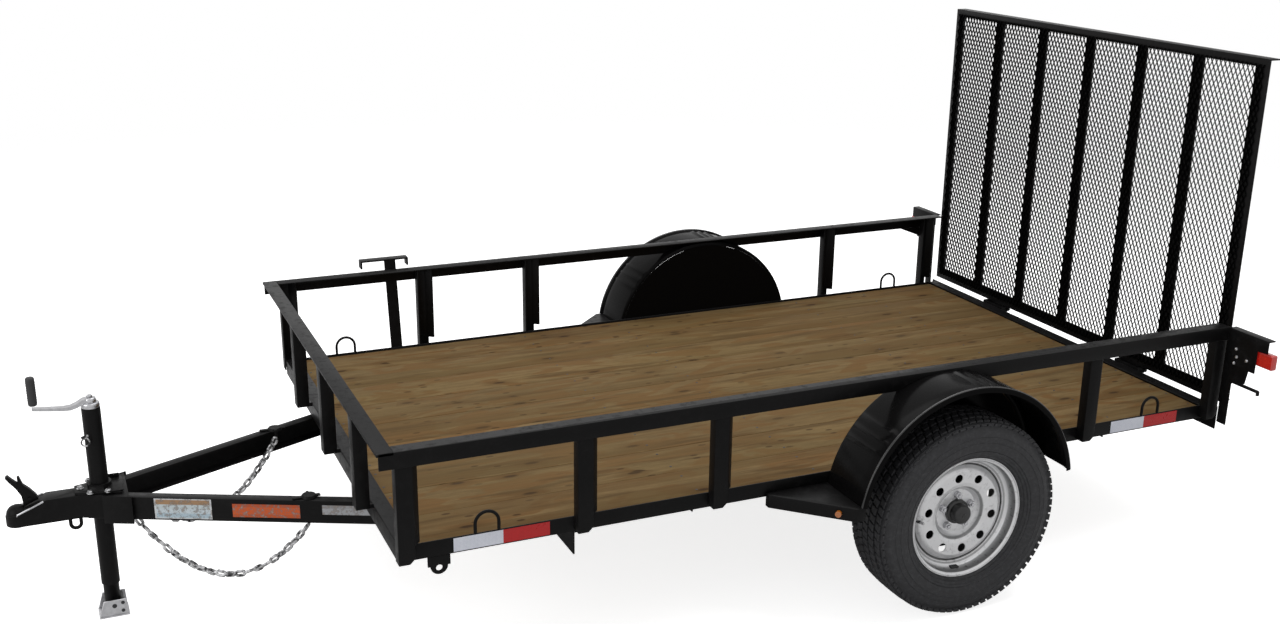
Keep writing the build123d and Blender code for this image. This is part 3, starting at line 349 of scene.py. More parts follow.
def tire_rubber(name):
    """Carbon-black rubber, dull and slightly dusty, with fine moulding rings on the sidewall."""
    base = tuple(look().rubber)
    f = Finish(name)
    where = f.place()
    patch = f.noise(where, 14.0, 5.0)
    grime = f.noise(where, 70.0, 5.0, 0.7)
    coat = f.mix(patch, base, times(base, 1.5))
    f.set(Base_Color=f.mix(grime.above(0.56, 0.12) * 0.5, coat, times(base, 3.2)),
          Roughness=0.52 + patch * 0.2)
    f.set(Specular_IOR_Level=0.35)
    return f.bump(grime + f.noise(where, 800.0, 2.0) * 0.3, 0.0006, 0.4)


def wheel_paint(name):
    """Silver enamel of a pressed steel wheel, with painted shade in its grooves and road dust at random."""
    base = tuple(look().wheel_silver)
    f = Finish(name)
    where = f.place()
    spoke = f.node("Mapping", {}, {"Vector": where, "Scale": (1, 0, 1),
                                   "Location": (-WHEEL["left"].x, 0, -WHEEL["left"].z)})
    radius = f.node("VectorMath", {"operation": "LENGTH"}, {0: spoke}, output="Value")
    patch = f.noise(where, 22.0, 4.0)
    flake = f.noise(where, 1500.0, 1.0)
    grime = f.noise(where, 60.0, 6.0, 0.7).above(0.62, 0.1)
    # random road dust; the loop below adds painted shade in the grooves
    dust_and_groove_shade = grime * 0.3
    # painted shade in the grooves: middle radius, half width and darkness of each dark ring
    for middle_radius, half, depth in ((0.0905, 0.0035, 0.55), (0.1705, 0.0035, 0.8), (0.1795, 0.0028, 0.5),
                                       (0.1942, 0.0022, 0.85), (0.2045, 0.0012, 0.3)):
        groove_shade_band = radius.above(middle_radius - half, 0.0012) - radius.above(middle_radius + half, 0.0012)
        dust_and_groove_shade = dust_and_groove_shade + groove_shade_band * depth
    f.set(Base_Color=f.mix(dust_and_groove_shade, f.mix(flake, times(base, 0.92), times(base, 1.08)), times(base, 0.07)),
          Roughness=0.3 + patch * 0.12 + grime * 0.15, Metallic=0.5 - dust_and_groove_shade * 0.45)
    return f.bump(f.noise(where, 420.0, 2.0), 0.0003, 0.25)


def hub_paint(name):
    """Gloss black of the hub and its grease cap."""
    base = tuple(look().paint)
    f = Finish(name)
    patch = f.noise(f.place(), 40.0, 4.0)
    f.set(Base_Color=f.mix(patch, base, times(base, 2.2)), Roughness=0.22 + patch * 0.2)
    return f.bump(f.noise(f.place(), 300.0, 2.0), 0.0003, 0.4)


def zinc_plate(name):
    """Bright zinc plating with a cloudy spangle."""
    f = Finish(name)
    where = f.place()
    cloud = f.noise(where, 55.0, 5.0, 0.65)
    cells = f.node("TexVoronoi", {"feature": "F1"}, {"Vector": where, "Scale": 160.0}, output="Color")
    spangle = f.node("SeparateColor", {}, {"Color": cells})
    f.set(Base_Color=f.mix(cloud, (0.3, 0.3, 0.31), (0.72, 0.72, 0.74)),
          Roughness=0.24 + spangle * 0.14 + cloud * 0.12)
    f.set(Metallic=0.95)
    return f.bump(cloud + spangle * 0.2, 0.0006, 0.4)


def chain_zinc(name):
    """Dull zinc of the chains, darkened in random patches."""
    f = Finish(name)
    where = f.place()
    worn = f.noise(where, 70.0, 3.0, 0.6).above(0.5, 0.14)
    f.set(Base_Color=f.mix(worn, (0.02, 0.02, 0.021), (0.62, 0.62, 0.63)), Roughness=0.3 + worn * 0.2)
    f.set(Metallic=0.8)
    return f.bump(worn, 0.0006, 0.4)


def bright_plate(name):
    """Polished nickel-chrome with light hazing."""
    f = Finish(name)
    where = f.place()
    haze = f.noise(where, 90.0, 5.0)
    f.set(Base_Color=f.mix(haze, (0.26, 0.26, 0.27), (0.62, 0.62, 0.64)), Roughness=0.1 + haze * 0.18)
    f.set(Metallic=1.0)
    return f.bump(haze, 0.0004, 0.3)


def grip_plastic(name):
    """Matte black moulded plastic."""
    f = Finish(name)
    grain = f.noise(f.place(), 520.0, 3.0)
    f.set(Base_Color=f.mix(grain, (0.01, 0.01, 0.011), (0.022, 0.022, 0.024)), Roughness=0.5 + grain * 0.2)
    return f.bump(grain, 0.0004, 0.5)


# deeper colour, paler colour and glow of each lens
LENSES = {"red_lens": ((0.32, 0.004, 0.004), (0.62, 0.02, 0.012), 0.12),
          "amber_lens": ((0.26, 0.05, 0.004), (0.6, 0.2, 0.02), 0.0)}


def lens(name):
    """Moulded lamp lens: deeper colour in the grooves, gloss on top."""
    deep, pale, glow = LENSES[name]
    f = Finish(name)
    where = f.place()
    cells = f.node("TexVoronoi", {"feature": "F1"}, {"Vector": where, "Scale": 260.0})
    cloud = f.noise(where, 30.0, 3.0)
    f.set(Base_Color=f.mix(cells * 0.6 + cloud * 0.4, deep, pale), Roughness=0.14 + cloud * 0.08,
          Emission_Color=f.mix(cloud, deep, pale))
    f.set(Coat_Weight=0.8, Coat_Roughness=0.05, Emission_Strength=glow)
    return f.bump(cells, 0.0005, 0.4)


TAPE_COLOURS = {"red_tape": ((0.30, 0.003, 0.004), (0.58, 0.007, 0.009)),
                "silver_tape": ((0.46, 0.49, 0.58), (0.86, 0.88, 0.96))}


def reflective_tape(name):
    """Prismatic tape: a honeycomb of fine cells under a clear film."""
    dark, pale = TAPE_COLOURS[name]
    f = Finish(name)
    where = f.place()
    cells = f.node("TexVoronoi", {"feature": "DISTANCE_TO_EDGE"},
                   {"Vector": where, "Scale": 240.0, "Randomness": 0.15})
    wall = cells.above(0.06, 0.05)
    broad = f.noise(where, 30.0, 3.0)
    f.set(Base_Color=f.mix(wall * 0.6 + broad * 0.4, dark, pale), Roughness=0.22 + broad * 0.15)
    f.set(Specular_IOR_Level=0.25, Coat_Weight=0.2, Coat_Roughness=0.15)
    return f.bump(wall, 0.0003, 0.5)


# colours of each plate's bands from its foot up, with the heights they lie between;
# the inner plate is white over blue, with an orange band along its top;
# the orange, white and silver plates are each one colour, with a painted highlight in the middle band and
# painted shade in the foot and top bands
PLATE_BANDS = {
    "inner_plate": (((0.42, 0.53, 0.60), (0.55, 0.62, 0.66), (0.52, 0.58, 0.60), (0.36, 0.22, 0.12)),
                    ARM_LOW.z + 0.0095, ARM_LOW.z + 0.069),
    "orange_plate": (((0.50, 0.085, 0.018), (0.58, 0.10, 0.022), (0.48, 0.08, 0.02)), ARM_LOW.z, ARM_HIGH.z),
    "white_plate": (((0.58, 0.6, 0.61), (0.64, 0.66, 0.67), (0.6, 0.61, 0.62)), ARM_LOW.z, ARM_HIGH.z),
    "silver_plate": (((0.25, 0.255, 0.27), (0.36, 0.365, 0.38), (0.3, 0.3, 0.31)), ARM_LOW.z, ARM_HIGH.z),
}


def printed_plate(name):
    """Blank label stock: soft bands of colour, partly print and partly painted highlight and shade, scuffed a
    little at random.
    """
    colours, low, high = PLATE_BANDS[name]
    f = Finish(name)
    where = f.place()
    height = f.node("SeparateXYZ", {}, {"Vector": where}, output="Z")
    share = f.node("MapRange", {}, {"Value": height, "From Min": low, "From Max": high})
    stops = [(index / len(colours), colour) for index, colour in enumerate(colours)]
    band = f.node("ValToRGB", {"stops": stops}, {"Fac": share})
    band.socket.node.color_ramp.interpolation = "CONSTANT"
    scuff = f.noise(where, 75.0, 5.0, 0.75)
    worn = f.mix(scuff.above(0.53, 0.06) * 0.75, band, (0.1, 0.09, 0.085))
    f.set(Base_Color=f.mix(scuff.above(0.6, 0.1) * 0.6, worn, (0.5, 0.42, 0.36)),
          Roughness=0.35 + scuff * 0.15)
    f.set(Specular_IOR_Level=0.25)
    return f.bump(scuff, 0.0002, 0.2)


def floor_finish(name):
    """Pale floor that keeps the trailer's shadow and fades into the white surround."""
    f = Finish(name)
    where = f.place()
    spread = f.node("VectorMath", {"operation": "LENGTH"}, {0: where}, output="Value")
    fade = spread.above(6.5, 2.4)
    grain = f.noise(where, 40.0, 3.0)
    seen = f.node("LightPath", output="Is Camera Ray")
    f.set(Base_Color=f.mix(grain, (0.88, 0.88, 0.88), (0.92, 0.92, 0.92)), Roughness=0.85 + grain * 0.1)
    f.set(Specular_IOR_Level=0.1, Emission_Color=f.mix(seen, (0, 0, 0), (1, 1, 1)), Emission_Strength=0.8)
    clear = f.node("BsdfTransparent")
    blend = f.node("MixShader", {}, {0: fade, 1: Signal(f, f.shader.outputs[0]), 2: clear})
    f.tree.links.new(blend.socket, f.tree.nodes["Material Output"].inputs["Surface"])
    return f


FINISH_MAKERS = {maker.__name__: maker for maker in (
    powder_coat, fender_enamel, lip_enamel, mesh_paint, treated_timber, tire_rubber, wheel_paint, hub_paint,
    zinc_plate, chain_zinc, bright_plate, grip_plastic, floor_finish)}
for names, maker in ((LENSES, lens), (TAPE_COLOURS, reflective_tape), (PLATE_BANDS, printed_plate)):
    FINISH_MAKERS.update(dict.fromkeys(names, maker))


# ------------------------------------------------------------------ mesh helpers
SMOOTH_ANGLE = math.radians(38)


def hand_over(name, bm, finish, body=ROOT, replaces=(), outward=True):
    """Turns a bmesh into a finished piece that rides on a body."""
    if outward:
        bmesh.ops.recalc_face_normals(bm, faces=bm.faces)
    mesh = bpy.data.meshes.new(name)
    bm.to_mesh(mesh)
    bm.free()
    mesh.shade_smooth()
    mesh.set_sharp_from_angle(angle=SMOOTH_ANGLE)
    piece = bpy.data.objects.new(name, mesh)
    bpy.context.scene.collection.objects.link(piece)
    for one in ([finish] if isinstance(finish, str) else finish):
        mesh.materials.append(finish_for(one))
    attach(piece, body)
    if replaces:
        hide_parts(*replaces)
    return piece


def spot(point, axis=(0, 0, 1), turn=0.0):
    """The place of a shape whose own Z axis is turned to lie along an axis."""
    lean = Vector(axis).to_track_quat("Z", "Y").to_matrix().to_4x4()
    return Matrix.Translation(Vector(point)) @ lean @ Matrix.Rotation(turn, 4, "Z")


def verts_in(items):
    return [item for item in items if isinstance(item, bmesh.types.BMVert)]


def edges_in(items):
    return [item for item in items if isinstance(item, bmesh.types.BMEdge)]


def edges_of(verts):
    held = set(verts)
    return [edge for edge in {e for v in verts for e in v.link_edges} if all(v in held for v in edge.verts)]


def sharp_edges(verts, angle=0.5):
    return [edge for edge in edges_of(verts) if len(edge.link_faces) == 2 and edge.calc_face_angle(0) > angle]


def round_edges(bm, edges, width, segments=2):
    bmesh.ops.bevel(bm, geom=edges, offset=width, offset_type="OFFSET", segments=segments, profile=0.5,
                    affect="EDGES", material=-1, clamp_overlap=True)


def bar(bm, low, high, edge=0.0, segments=2, place=None):
    """A straight block between two corners, its edges rounded."""
    low, high = Vector(low), Vector(high)
    made = bmesh.ops.create_cube(bm, size=1.0)["verts"]
    bmesh.ops.scale(bm, vec=high - low, verts=made)
    bmesh.ops.translate(bm, vec=(low + high) / 2, verts=made)
    if place is not None:
        bmesh.ops.transform(bm, matrix=place, verts=made)
    if edge:
        round_edges(bm, edges_of(made), edge, segments)
    return made


def rod(bm, start, end, radius, end_radius=None, segments=24, edge=0.0):
    """A round bar or a cone between two points."""
    start, end = Vector(start), Vector(end)
    tip = radius if end_radius is None else end_radius
    made = bmesh.ops.create_cone(bm, cap_ends=True, segments=segments, radius1=radius, radius2=tip,
                                 depth=(end - start).length,
                                 matrix=spot((start + end) / 2, end - start))["verts"]
    if edge:
        round_edges(bm, sharp_edges(made, 1.0), edge)
    return made


def spun(bm, profile, place, steps=96, angle=math.tau, start=0.0):
    """Turns a profile of (radius, height) about the place's own Z axis."""
    whole = abs(angle - math.tau) < 1e-6
    turn = Matrix.Rotation(start, 4, "Z")
    verts = [bm.verts.new(place @ turn @ Vector((radius, 0, height))) for radius, height in profile]
    edges = [bm.edges.new(pair) for pair in zip(verts, verts[1:])]
    axis = (place.to_3x3() @ Vector((0, 0, 1))).normalized()
    before = set(bm.verts)
    bmesh.ops.spin(bm, geom=verts + edges, cent=place.translation, axis=axis, angle=angle, steps=steps,
                   use_merge=whole, use_duplicate=False)
    return verts + [vert for vert in bm.verts if vert not in before]


def wire_ring(radius, wire, sides, height=0.0):
    """Section of a round wire, as (radius, height), to be spun into a ring."""
    return [(radius + wire * math.cos(math.tau * i / sides), height + wire * math.sin(math.tau * i / sides))
            for i in range(sides + 1)]


def hex_head(bm, foot, axis, across=0.017, height=0.008, washer=0.013, turn=0.0):
    """A bolt's washer and its chamfered hexagon head."""
    foot, axis = Vector(foot), Vector(axis).normalized()
    if washer:
        rod(bm, foot, foot + axis * 0.0016, washer, segments=20)
        foot = foot + axis * 0.0016
    base = foot + axis * height / 2
    corner = across / 1.732
    head = bmesh.ops.create_cone(bm, cap_ends=True, segments=6, radius1=corner, radius2=corner,
                                 depth=height, matrix=spot(base, axis, turn))["verts"]
    top = [edge for edge in sharp_edges(head, 1.0)
           if all((vert.co - base).dot(axis) > height * 0.4 for vert in edge.verts)]
    round_edges(bm, top, 0.001, 1)


def merged_copy(node):
    """A CAD node's surface as one clean mesh of flat panels."""
    bm = bmesh.new()
    bm.from_mesh(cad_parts[node].data)
    bmesh.ops.remove_doubles(bm, verts=bm.verts, dist=2e-5)
    bmesh.ops.dissolve_limit(bm, angle_limit=math.radians(0.5), verts=bm.verts, edges=bm.edges,
                             use_dissolve_boundaries=False)
    return bm


def soften(node, finish, edge=None, body=ROOT):
    """A copy of a CAD node with rolled edges, which stands for it."""
    bm = merged_copy(node)
    width = look().edge if edge is None else edge
    if width:
        sharp = [e for e in bm.edges if len(e.link_faces) == 2 and e.calc_face_angle(0) > 0.6
                 and e.calc_length() > width * 3]
        round_edges(bm, sharp, width, 2)
    return hand_over(node + "_finished", bm, finish, body, replaces=[node], outward=False)


# ------------------------------------------------------------------ the bed
def board_width():
    count = look().board_count
    return (DECK_HIGH.y - DECK_LOW.y - (count - 1) * look().board_gap) / count


def make_boards():
    """Deck boards with eased edges, each with its own tone and grain."""
    chance = random.Random(11)
    gap, width = look().board_gap, board_width()
    bm = bmesh.new()
    tones = []
    for index in range(look().board_count):
        y = DECK_LOW.y + index * (width + gap)
        crown = chance.uniform(0.0, 0.0008)
        made = bar(bm, (DECK_LOW.x, y, DECK_LOW.z), (DECK_HIGH.x, y + width, DECK_HIGH.z - crown))
        long_edges = [e for e in edges_of(made) if abs(e.verts[0].co.x - e.verts[1].co.x) > 1]
        round_edges(bm, long_edges, look().board_edge, 3)
        tone = (index * 0.37 + chance.uniform(0, 0.3)) % 1.0
        tones += [tone] * (len(bm.faces) - len(tones))
    bmesh.ops.recalc_face_normals(bm, faces=bm.faces)
    piece = hand_over("deck_planks", bm, "treated_timber", replaces=["deck_boards"])
    attribute = piece.data.attributes.new("tone", "FLOAT", "FACE")
    attribute.data.foreach_set("value", tones)


# distance of each front post's web from the centre line
FRONT_POSTS = (-0.573, -0.115, 0.340)


def make_front_rail():
    """Front top rail with its leg turned inwards, on three angle posts down to the header."""
    low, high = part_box("top_rail_front")
    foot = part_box("header_front")[1].z - 0.004
    wall, leg = 0.005, 0.050
    rail = bmesh.new()
    bar(rail, (low.x, low.y, high.z - 0.0085), (low.x + leg, high.y, high.z), look().edge)
    notches = [y for post in FRONT_POSTS for y in (post - 0.0005, post + wall + 0.0005)]
    ends = (low.y + 0.006, *notches, high.y - 0.006)
    for y0, y1 in zip(ends[::2], ends[1::2]):
        bar(rail, (low.x + leg - wall, y0, low.z), (low.x + leg, y1, high.z - 0.0088), look().edge)
    hand_over("front_top_rail", rail, "powder_coat", replaces=["top_rail_front"])
    posts = bmesh.new()
    for y in FRONT_POSTS:
        bar(posts, (low.x + 0.006, y, foot), (low.x + 0.0490, y + wall, high.z - 0.009), look().edge)
        bar(posts, (low.x + 0.030, y + 0.0003, foot + 0.0004),
            (low.x + 0.0606, y + wall - 0.0003, foot + 0.014), look().edge)
        bar(posts, (low.x + 0.006, y + wall - 0.0005, foot), (low.x + 0.011, y + leg, high.z - 0.009),
            look().edge)
    hand_over("front_posts", posts, "powder_coat", replaces=["posts_front"])


# distance of each inner row of screws from the front of the bed
SCREW_ROWS = (1.024, 1.444, 2.304, 2.654)


def make_deck_screws():
    """Countersunk screws, two in each board in every row and at both of its ends."""
    bm = bmesh.new()
    gap, width = look().board_gap, board_width()
    rows = [DECK_LOW.x + 0.014, DECK_HIGH.x - 0.014] + [x + BED_START for x in SCREW_ROWS]
    chance = random.Random(5)
    for x in rows:
        for index in range(look().board_count):
            for share in (0.22, 0.78):
                y = DECK_LOW.y + index * (width + gap) + width * share + chance.uniform(-0.004, 0.004)
                top = DECK_HIGH.z + 0.0002
                rod(bm, (x, y, top - 0.003), (x, y, top), 0.0042, segments=10)
    hand_over("deck_screws", bm, "grip_plastic")


# ------------------------------------------------------------------ wheels
def tire_profile():
    """Half a tyre section as (radius, distance from the middle), from the bead to the first groove."""
    r, w = TIRE_RADIUS, TIRE_HALF_WIDTH
    seat, side = RIM_RADIUS, RIM_HALF_WIDTH
    return ((seat - 0.0117, 0.0662), (seat + 0.0006, side - 0.0036), (seat + 0.006, side + 0.0052),
            (seat + 0.0115, side + 0.0056), (seat + 0.0135, side + 0.0095), (seat + 0.021, side + 0.0125),
            (seat + 0.0225, side + 0.0165), (seat + 0.0285, side + 0.0185), (seat + 0.0300, side + 0.0172),
            (seat + 0.0315, side + 0.0195), (seat + 0.046, w - 0.0024), (seat + 0.060, w - 0.0006),
            (seat + 0.0615, w - 0.0017), (seat + 0.063, w - 0.0004), (seat + 0.078, w - 0.0012),
            (seat + 0.0795, w - 0.0026), (seat + 0.081, w - 0.0016), (seat + 0.094, w - 0.0050),
            (r - 0.0325, w - 0.0075), (r - 0.0300, w - 0.0105), (r - 0.018, w - 0.0145),
            (r - 0.0105, w - 0.0200), (r - 0.0088, 0.0))


def tread_block(bm, place, width, length, height, skew):
    """One rib block, skewed along the tread and a little narrower at its top."""
    made = bmesh.ops.create_cube(bm, size=1.0)["verts"]
    for vert in made:
        narrow = 0.94 if vert.co.z > 0 else 1.0
        vert.co = Vector(((vert.co.x * length + vert.co.y * skew) * narrow, vert.co.y * width * narrow,
                          vert.co.z * height))
    bmesh.ops.transform(bm, matrix=place, verts=made)
    round_edges(bm, edges_of(made), 0.0011, 1)


# blocks round the tyre in each row
TREAD_STEPS = 76


def make_tire(side):
    """Carcass spun from its section, with five rows of rib blocks and shoulder lugs."""
    place = Matrix.Translation(WHEEL[side]) @ ON_SIDE
    half = tire_profile()
    section = [(r, -w) for r, w in half] + [(r, w) for r, w in reversed(half[:-1])]
    bm = bmesh.new()
    spun(bm, section, place, steps=112)
    # rows of the tread: offset across, width, drop of the crown, turn of the row
    rows = ((0.0, 0.026, 0.0, 0.0), (0.0325, 0.027, 0.0006, 0.5), (-0.0325, 0.027, 0.0006, 0.5),
            (0.0645, 0.024, 0.0028, 0.2), (-0.0645, 0.024, 0.0028, 0.2))
    length = math.tau * TIRE_RADIUS / TREAD_STEPS
    # the block's x lies round the tyre and its y across the tread
    flat = Matrix.Rotation(math.radians(90), 4, "Y") @ Matrix.Rotation(math.radians(90), 4, "Z")
    for across, width, drop, turn in rows:
        for step in range(TREAD_STEPS):
            angle = math.tau * (step + turn) / TREAD_STEPS
            spoke = place @ Matrix.Rotation(angle, 4, "Z") @ Matrix.Translation(
                (TIRE_RADIUS - 0.0062 - drop, 0, across)) @ flat
            tread_block(bm, spoke, width, length * 0.86, 0.0122, 0.009 if across >= 0 else -0.009)
    for way in (-1, 1):
        for step in range(TREAD_STEPS):
            angle = math.tau * (step + 0.2) / TREAD_STEPS
            spoke = place @ Matrix.Rotation(angle, 4, "Z") @ Matrix.Translation(
                (TIRE_RADIUS - 0.0205, 0, way * (TIRE_HALF_WIDTH - 0.0175)))
            spoke = spoke @ Matrix.Rotation(-way * math.radians(38), 4, "Y")
            bar(bm, (-0.0125, -length * 0.36, -0.0028), (0.0125, length * 0.36, 0.0028), 0.0008, 1, spoke)
    hand_over("tire_" + side + "_treaded", bm, "tire_rubber", "wheel_" + side, ["tire_" + side],
              outward=False)


def window_sector(bm, place, inner, outer, ring, hole, height, count):
    """A dished ring with round windows, made as one sector and turned about the wheel."""
    arc = math.tau / count
    steps = 6
    rim_loop = []
    for radius, way in ((outer, 1), (inner, -1)):
        for index in range(steps + 1):
            angle = way * (arc * index / steps - arc / 2)
            rim_loop.append((radius * math.cos(angle), radius * math.sin(angle)))
    total = len(rim_loop)
    border = [bm.verts.new((x, y, 0)) for x, y in rim_loop]
    border_edges = [bm.edges.new((border[i], border[(i + 1) % total])) for i in range(total)]
    circle = bmesh.ops.create_circle(bm, segments=2 * total, radius=hole,
                                     matrix=Matrix.Translation((ring, 0, 0)))
    circle_edges = edges_of(circle["verts"])
    bmesh.ops.bridge_loops(bm, edges=border_edges + circle_edges)
    made = border + circle["verts"]
    spokes = [e for e in edges_of(made) if (e.verts[0] in circle["verts"]) != (e.verts[1] in circle["verts"])]
    bmesh.ops.subdivide_edges(bm, edges=spokes, cuts=1)
    bmesh.ops.spin(bm, geom=[*bm.verts, *bm.edges, *bm.faces], cent=(0, 0, 0), axis=(0, 0, 1),
                   angle=math.tau - arc, steps=count - 1, use_duplicate=True)
    bmesh.ops.remove_doubles(bm, verts=bm.verts, dist=2e-5)
    for vert in bm.verts:
        vert.co.z = height(math.hypot(vert.co.x, vert.co.y))
    bmesh.ops.transform(bm, matrix=place, verts=bm.verts)


def wheel_place(side, sign):
    """The middle of a wheel, with its own Z axis pointing outwards."""
    return Matrix.Translation(WHEEL[side]) @ Matrix.Rotation(math.radians(-90 * sign), 4, "X")


WINDOW_COUNT = 10
WINDOW_TURN = math.radians(25.6)


def make_rim(side, sign):
    """Pressed steel wheel: rolled barrel, dished disc with ten round windows, raised hub seat."""
    place = wheel_place(side, sign)
    r, w = RIM_RADIUS, RIM_HALF_WIDTH
    barrel = bmesh.new()
    section = ((r - 0.0008, -w), (r, -w + 0.0012), (r, -w + 0.003), (r - 0.004, -w + 0.0042),
               (r - 0.011, -w + 0.0075), (r - 0.012, -w + 0.012), (r - 0.0135, -w + 0.034),
               (r - 0.0185, -w + 0.039), (r - 0.034, -w + 0.046), (r - 0.034, w - 0.052),
               (r - 0.0185, w - 0.044), (r - 0.0135, w - 0.037), (r - 0.012, w - 0.012),
               (r - 0.011, w - 0.0075), (r - 0.004, w - 0.0042), (r, w - 0.003), (r, w - 0.0012),
               (r - 0.0008, w), (r - 0.0032, w), (r - 0.0042, w - 0.0016), (r - 0.0065, w - 0.0036),
               (r - 0.0138, w - 0.0072), (r - 0.0152, w - 0.013), (r - 0.0165, w - 0.036),
               (r - 0.0215, w - 0.042), (r - 0.037, w - 0.0505), (r - 0.037, -w + 0.0475),
               (r - 0.0215, -w + 0.042), (r - 0.0165, -w + 0.036), (r - 0.0152, -w + 0.013),
               (r - 0.0138, -w + 0.0072), (r - 0.0065, -w + 0.0036), (r - 0.0042, -w + 0.0016),
               (r - 0.0032, -w))
    spun(barrel, section + (section[0],), place, steps=112)
    bmesh.ops.remove_doubles(barrel, verts=barrel.verts, dist=1e-5)
    hand_over("rim_" + side + "_barrel", barrel, "wheel_paint", "wheel_" + side)
    lip, crown, seat = r - 0.0375, 0.040, 0.0135

    def dish(radius):
        """Height of the disc's face over the middle of the wheel, at a radius."""
        stops = ((0.0, seat), (0.075, seat), (0.084, seat + 0.008), (0.092, crown - 0.005), (0.107, crown),
                 (0.147, crown + 0.0015), (0.156, crown - 0.002), (0.165, crown - 0.010),
                 (lip + 0.0005, crown - 0.018))
        for (r0, z0), (r1, z1) in zip(stops, stops[1:]):
            if radius <= r1:
                return z0 + (z1 - z0) * (radius - r0) / (r1 - r0)
        return stops[-1][1]

    disc = bmesh.new()
    window_sector(disc, Matrix.Rotation(WINDOW_TURN, 4, "Z"), 0.107, 0.147, 0.127, 0.0150, dish,
                  WINDOW_COUNT)
    middle_ring = [(radius, dish(radius)) for radius in (0.0432, 0.050, 0.060, 0.075, 0.079, 0.084, 0.088,
                                                         0.092, 0.099, 0.107)]
    edge_ring = [(radius, dish(radius)) for radius in (0.147, 0.156, 0.160, 0.165, lip)]
    middle_ring.insert(0, (0.0424, seat + 0.002))
    spun(disc, middle_ring, Matrix.Identity(4), steps=60)
    spun(disc, edge_ring, Matrix.Identity(4), steps=60)
    bmesh.ops.remove_doubles(disc, verts=disc.verts, dist=1e-5)
    bmesh.ops.recalc_face_normals(disc, faces=disc.faces)
    bmesh.ops.transform(disc, matrix=place, verts=disc.verts)
    bmesh.ops.solidify(disc, geom=list(disc.faces), thickness=0.0034)
    bmesh.ops.recalc_face_normals(disc, faces=disc.faces)
    hand_over("rim_" + side + "_disc", disc, "wheel_paint", "wheel_" + side, ["rim_" + side])


LUG_COUNT = 5
LUG_CIRCLE = 0.05715
VALVE_ANGLE = math.radians(181)
VALVE_CIRCLE = 0.158
WEIGHT_ANGLE = math.radians(267)


def make_hub(side, sign):
    """Grease cap, hub face, a black disc behind the hub as painted shade in the wheel's windows, studs with
    cone nuts, the valve and the balance weight.
    """
    centre = WHEEL[side]
    out = Vector((0, sign, 0))
    place = wheel_place(side, sign)
    body = "wheel_" + side
    bm = bmesh.new()
    cap = ((0.0, 0.0615), (0.014, 0.0612), (0.0235, 0.0595), (0.0300, 0.0560), (0.0325, 0.0520),
           (0.0335, 0.0300), (0.0395, 0.0285), (0.0412, 0.0265), (0.0412, 0.0145), (0.0412, 0.0))
    spun(bm, cap, place, steps=48)
    flange = ((0.0412, 0.0), (0.068, 0.0), (0.0695, -0.0012), (0.0695, 0.0085), (0.0405, 0.0092),
              (0.0405, -0.069), (0.038, -0.070), (0.0205, -0.070))
    spun(bm, flange, place, steps=48)
    bmesh.ops.remove_doubles(bm, verts=bm.verts, dist=1e-5)
    rod(bm, centre + out * 0.0605, centre + out * 0.0632, 0.0075, 0.0062, segments=20)
    hand_over("hub_" + side + "_capped", bm, "hub_paint", body, ["hub_" + side])
    # black disc behind the hub face: painted shade that darkens the view through the wheel's windows
    shade_disc = bmesh.new()
    spun(shade_disc, ((0.041, -0.058), (0.120, -0.056), (0.150, -0.048), (0.152, -0.036), (0.150, -0.036),
                  (0.148, -0.046), (0.120, -0.053), (0.041, -0.055), (0.041, -0.058)), place, steps=64)
    hand_over("hub_" + side + "_shield", shade_disc, "powder_coat", body)
    nuts = bmesh.new()
    for index in range(LUG_COUNT):
        angle = math.tau * index / LUG_COUNT + math.radians(90)
        foot = place @ Vector((LUG_CIRCLE * math.cos(angle), LUG_CIRCLE * math.sin(angle), 0.0137))
        rod(nuts, foot, foot + out * 0.004, 0.0128, 0.0115, segments=24)
        hex_head(nuts, foot + out * 0.0036, out, 0.021, 0.012, 0, angle)
        rod(nuts, foot + out * 0.014, foot + out * 0.0205, 0.0060, segments=16, edge=0.0008)
    hand_over("lug_nuts_" + side, nuts, "bright_plate", body)
    stem = bmesh.new()
    ahead, aside = math.cos(VALVE_ANGLE), math.sin(VALVE_ANGLE)
    foot = place @ Vector((VALVE_CIRCLE * ahead, VALVE_CIRCLE * aside, 0.034))
    lean = (place.to_3x3() @ Vector((-0.25 * ahead, -0.25 * aside, 1.0))).normalized()
    rod(stem, foot - lean * 0.012, foot + lean * 0.008, 0.0068, 0.0048, segments=18)
    hand_over("valve_stem_" + side, stem, "grip_plastic", body)
    tip = bmesh.new()
    rod(tip, foot + lean * 0.007, foot + lean * 0.014, 0.0036, segments=16)
    rod(tip, foot + lean * 0.014, foot + lean * 0.023, 0.0050, 0.0044, segments=18, edge=0.0007)
    hand_over("valve_cap_" + side, tip, "zinc_plate", body)
    clip = bmesh.new()
    seat = place @ Matrix.Rotation(WEIGHT_ANGLE, 4, "Z") @ Matrix.Translation(
        (RIM_RADIUS - 0.0175, 0, RIM_HALF_WIDTH - 0.036))
    bar(clip, (-0.0045, -0.015, -0.011), (0.0022, 0.015, 0.011), 0.0012, 1, seat)
    hand_over("balance_weight_" + side, clip, "grip_plastic", body)


# ------------------------------------------------------------------ fenders
FENDER_CENTRE = Vector(((FENDER_LOW.x + FENDER_HIGH.x) / 2, 0, FENDER_LOW.z - 0.066))
FENDER_RADIUS = (FENDER_HIGH.x - FENDER_LOW.x) / 2 - 0.004
# how far the outer edge stands in from the plain fender's
FENDER_TUCK = 0.022
FENDER_RIBS = (34, 39.5, 45, 94, 98.5, 103)


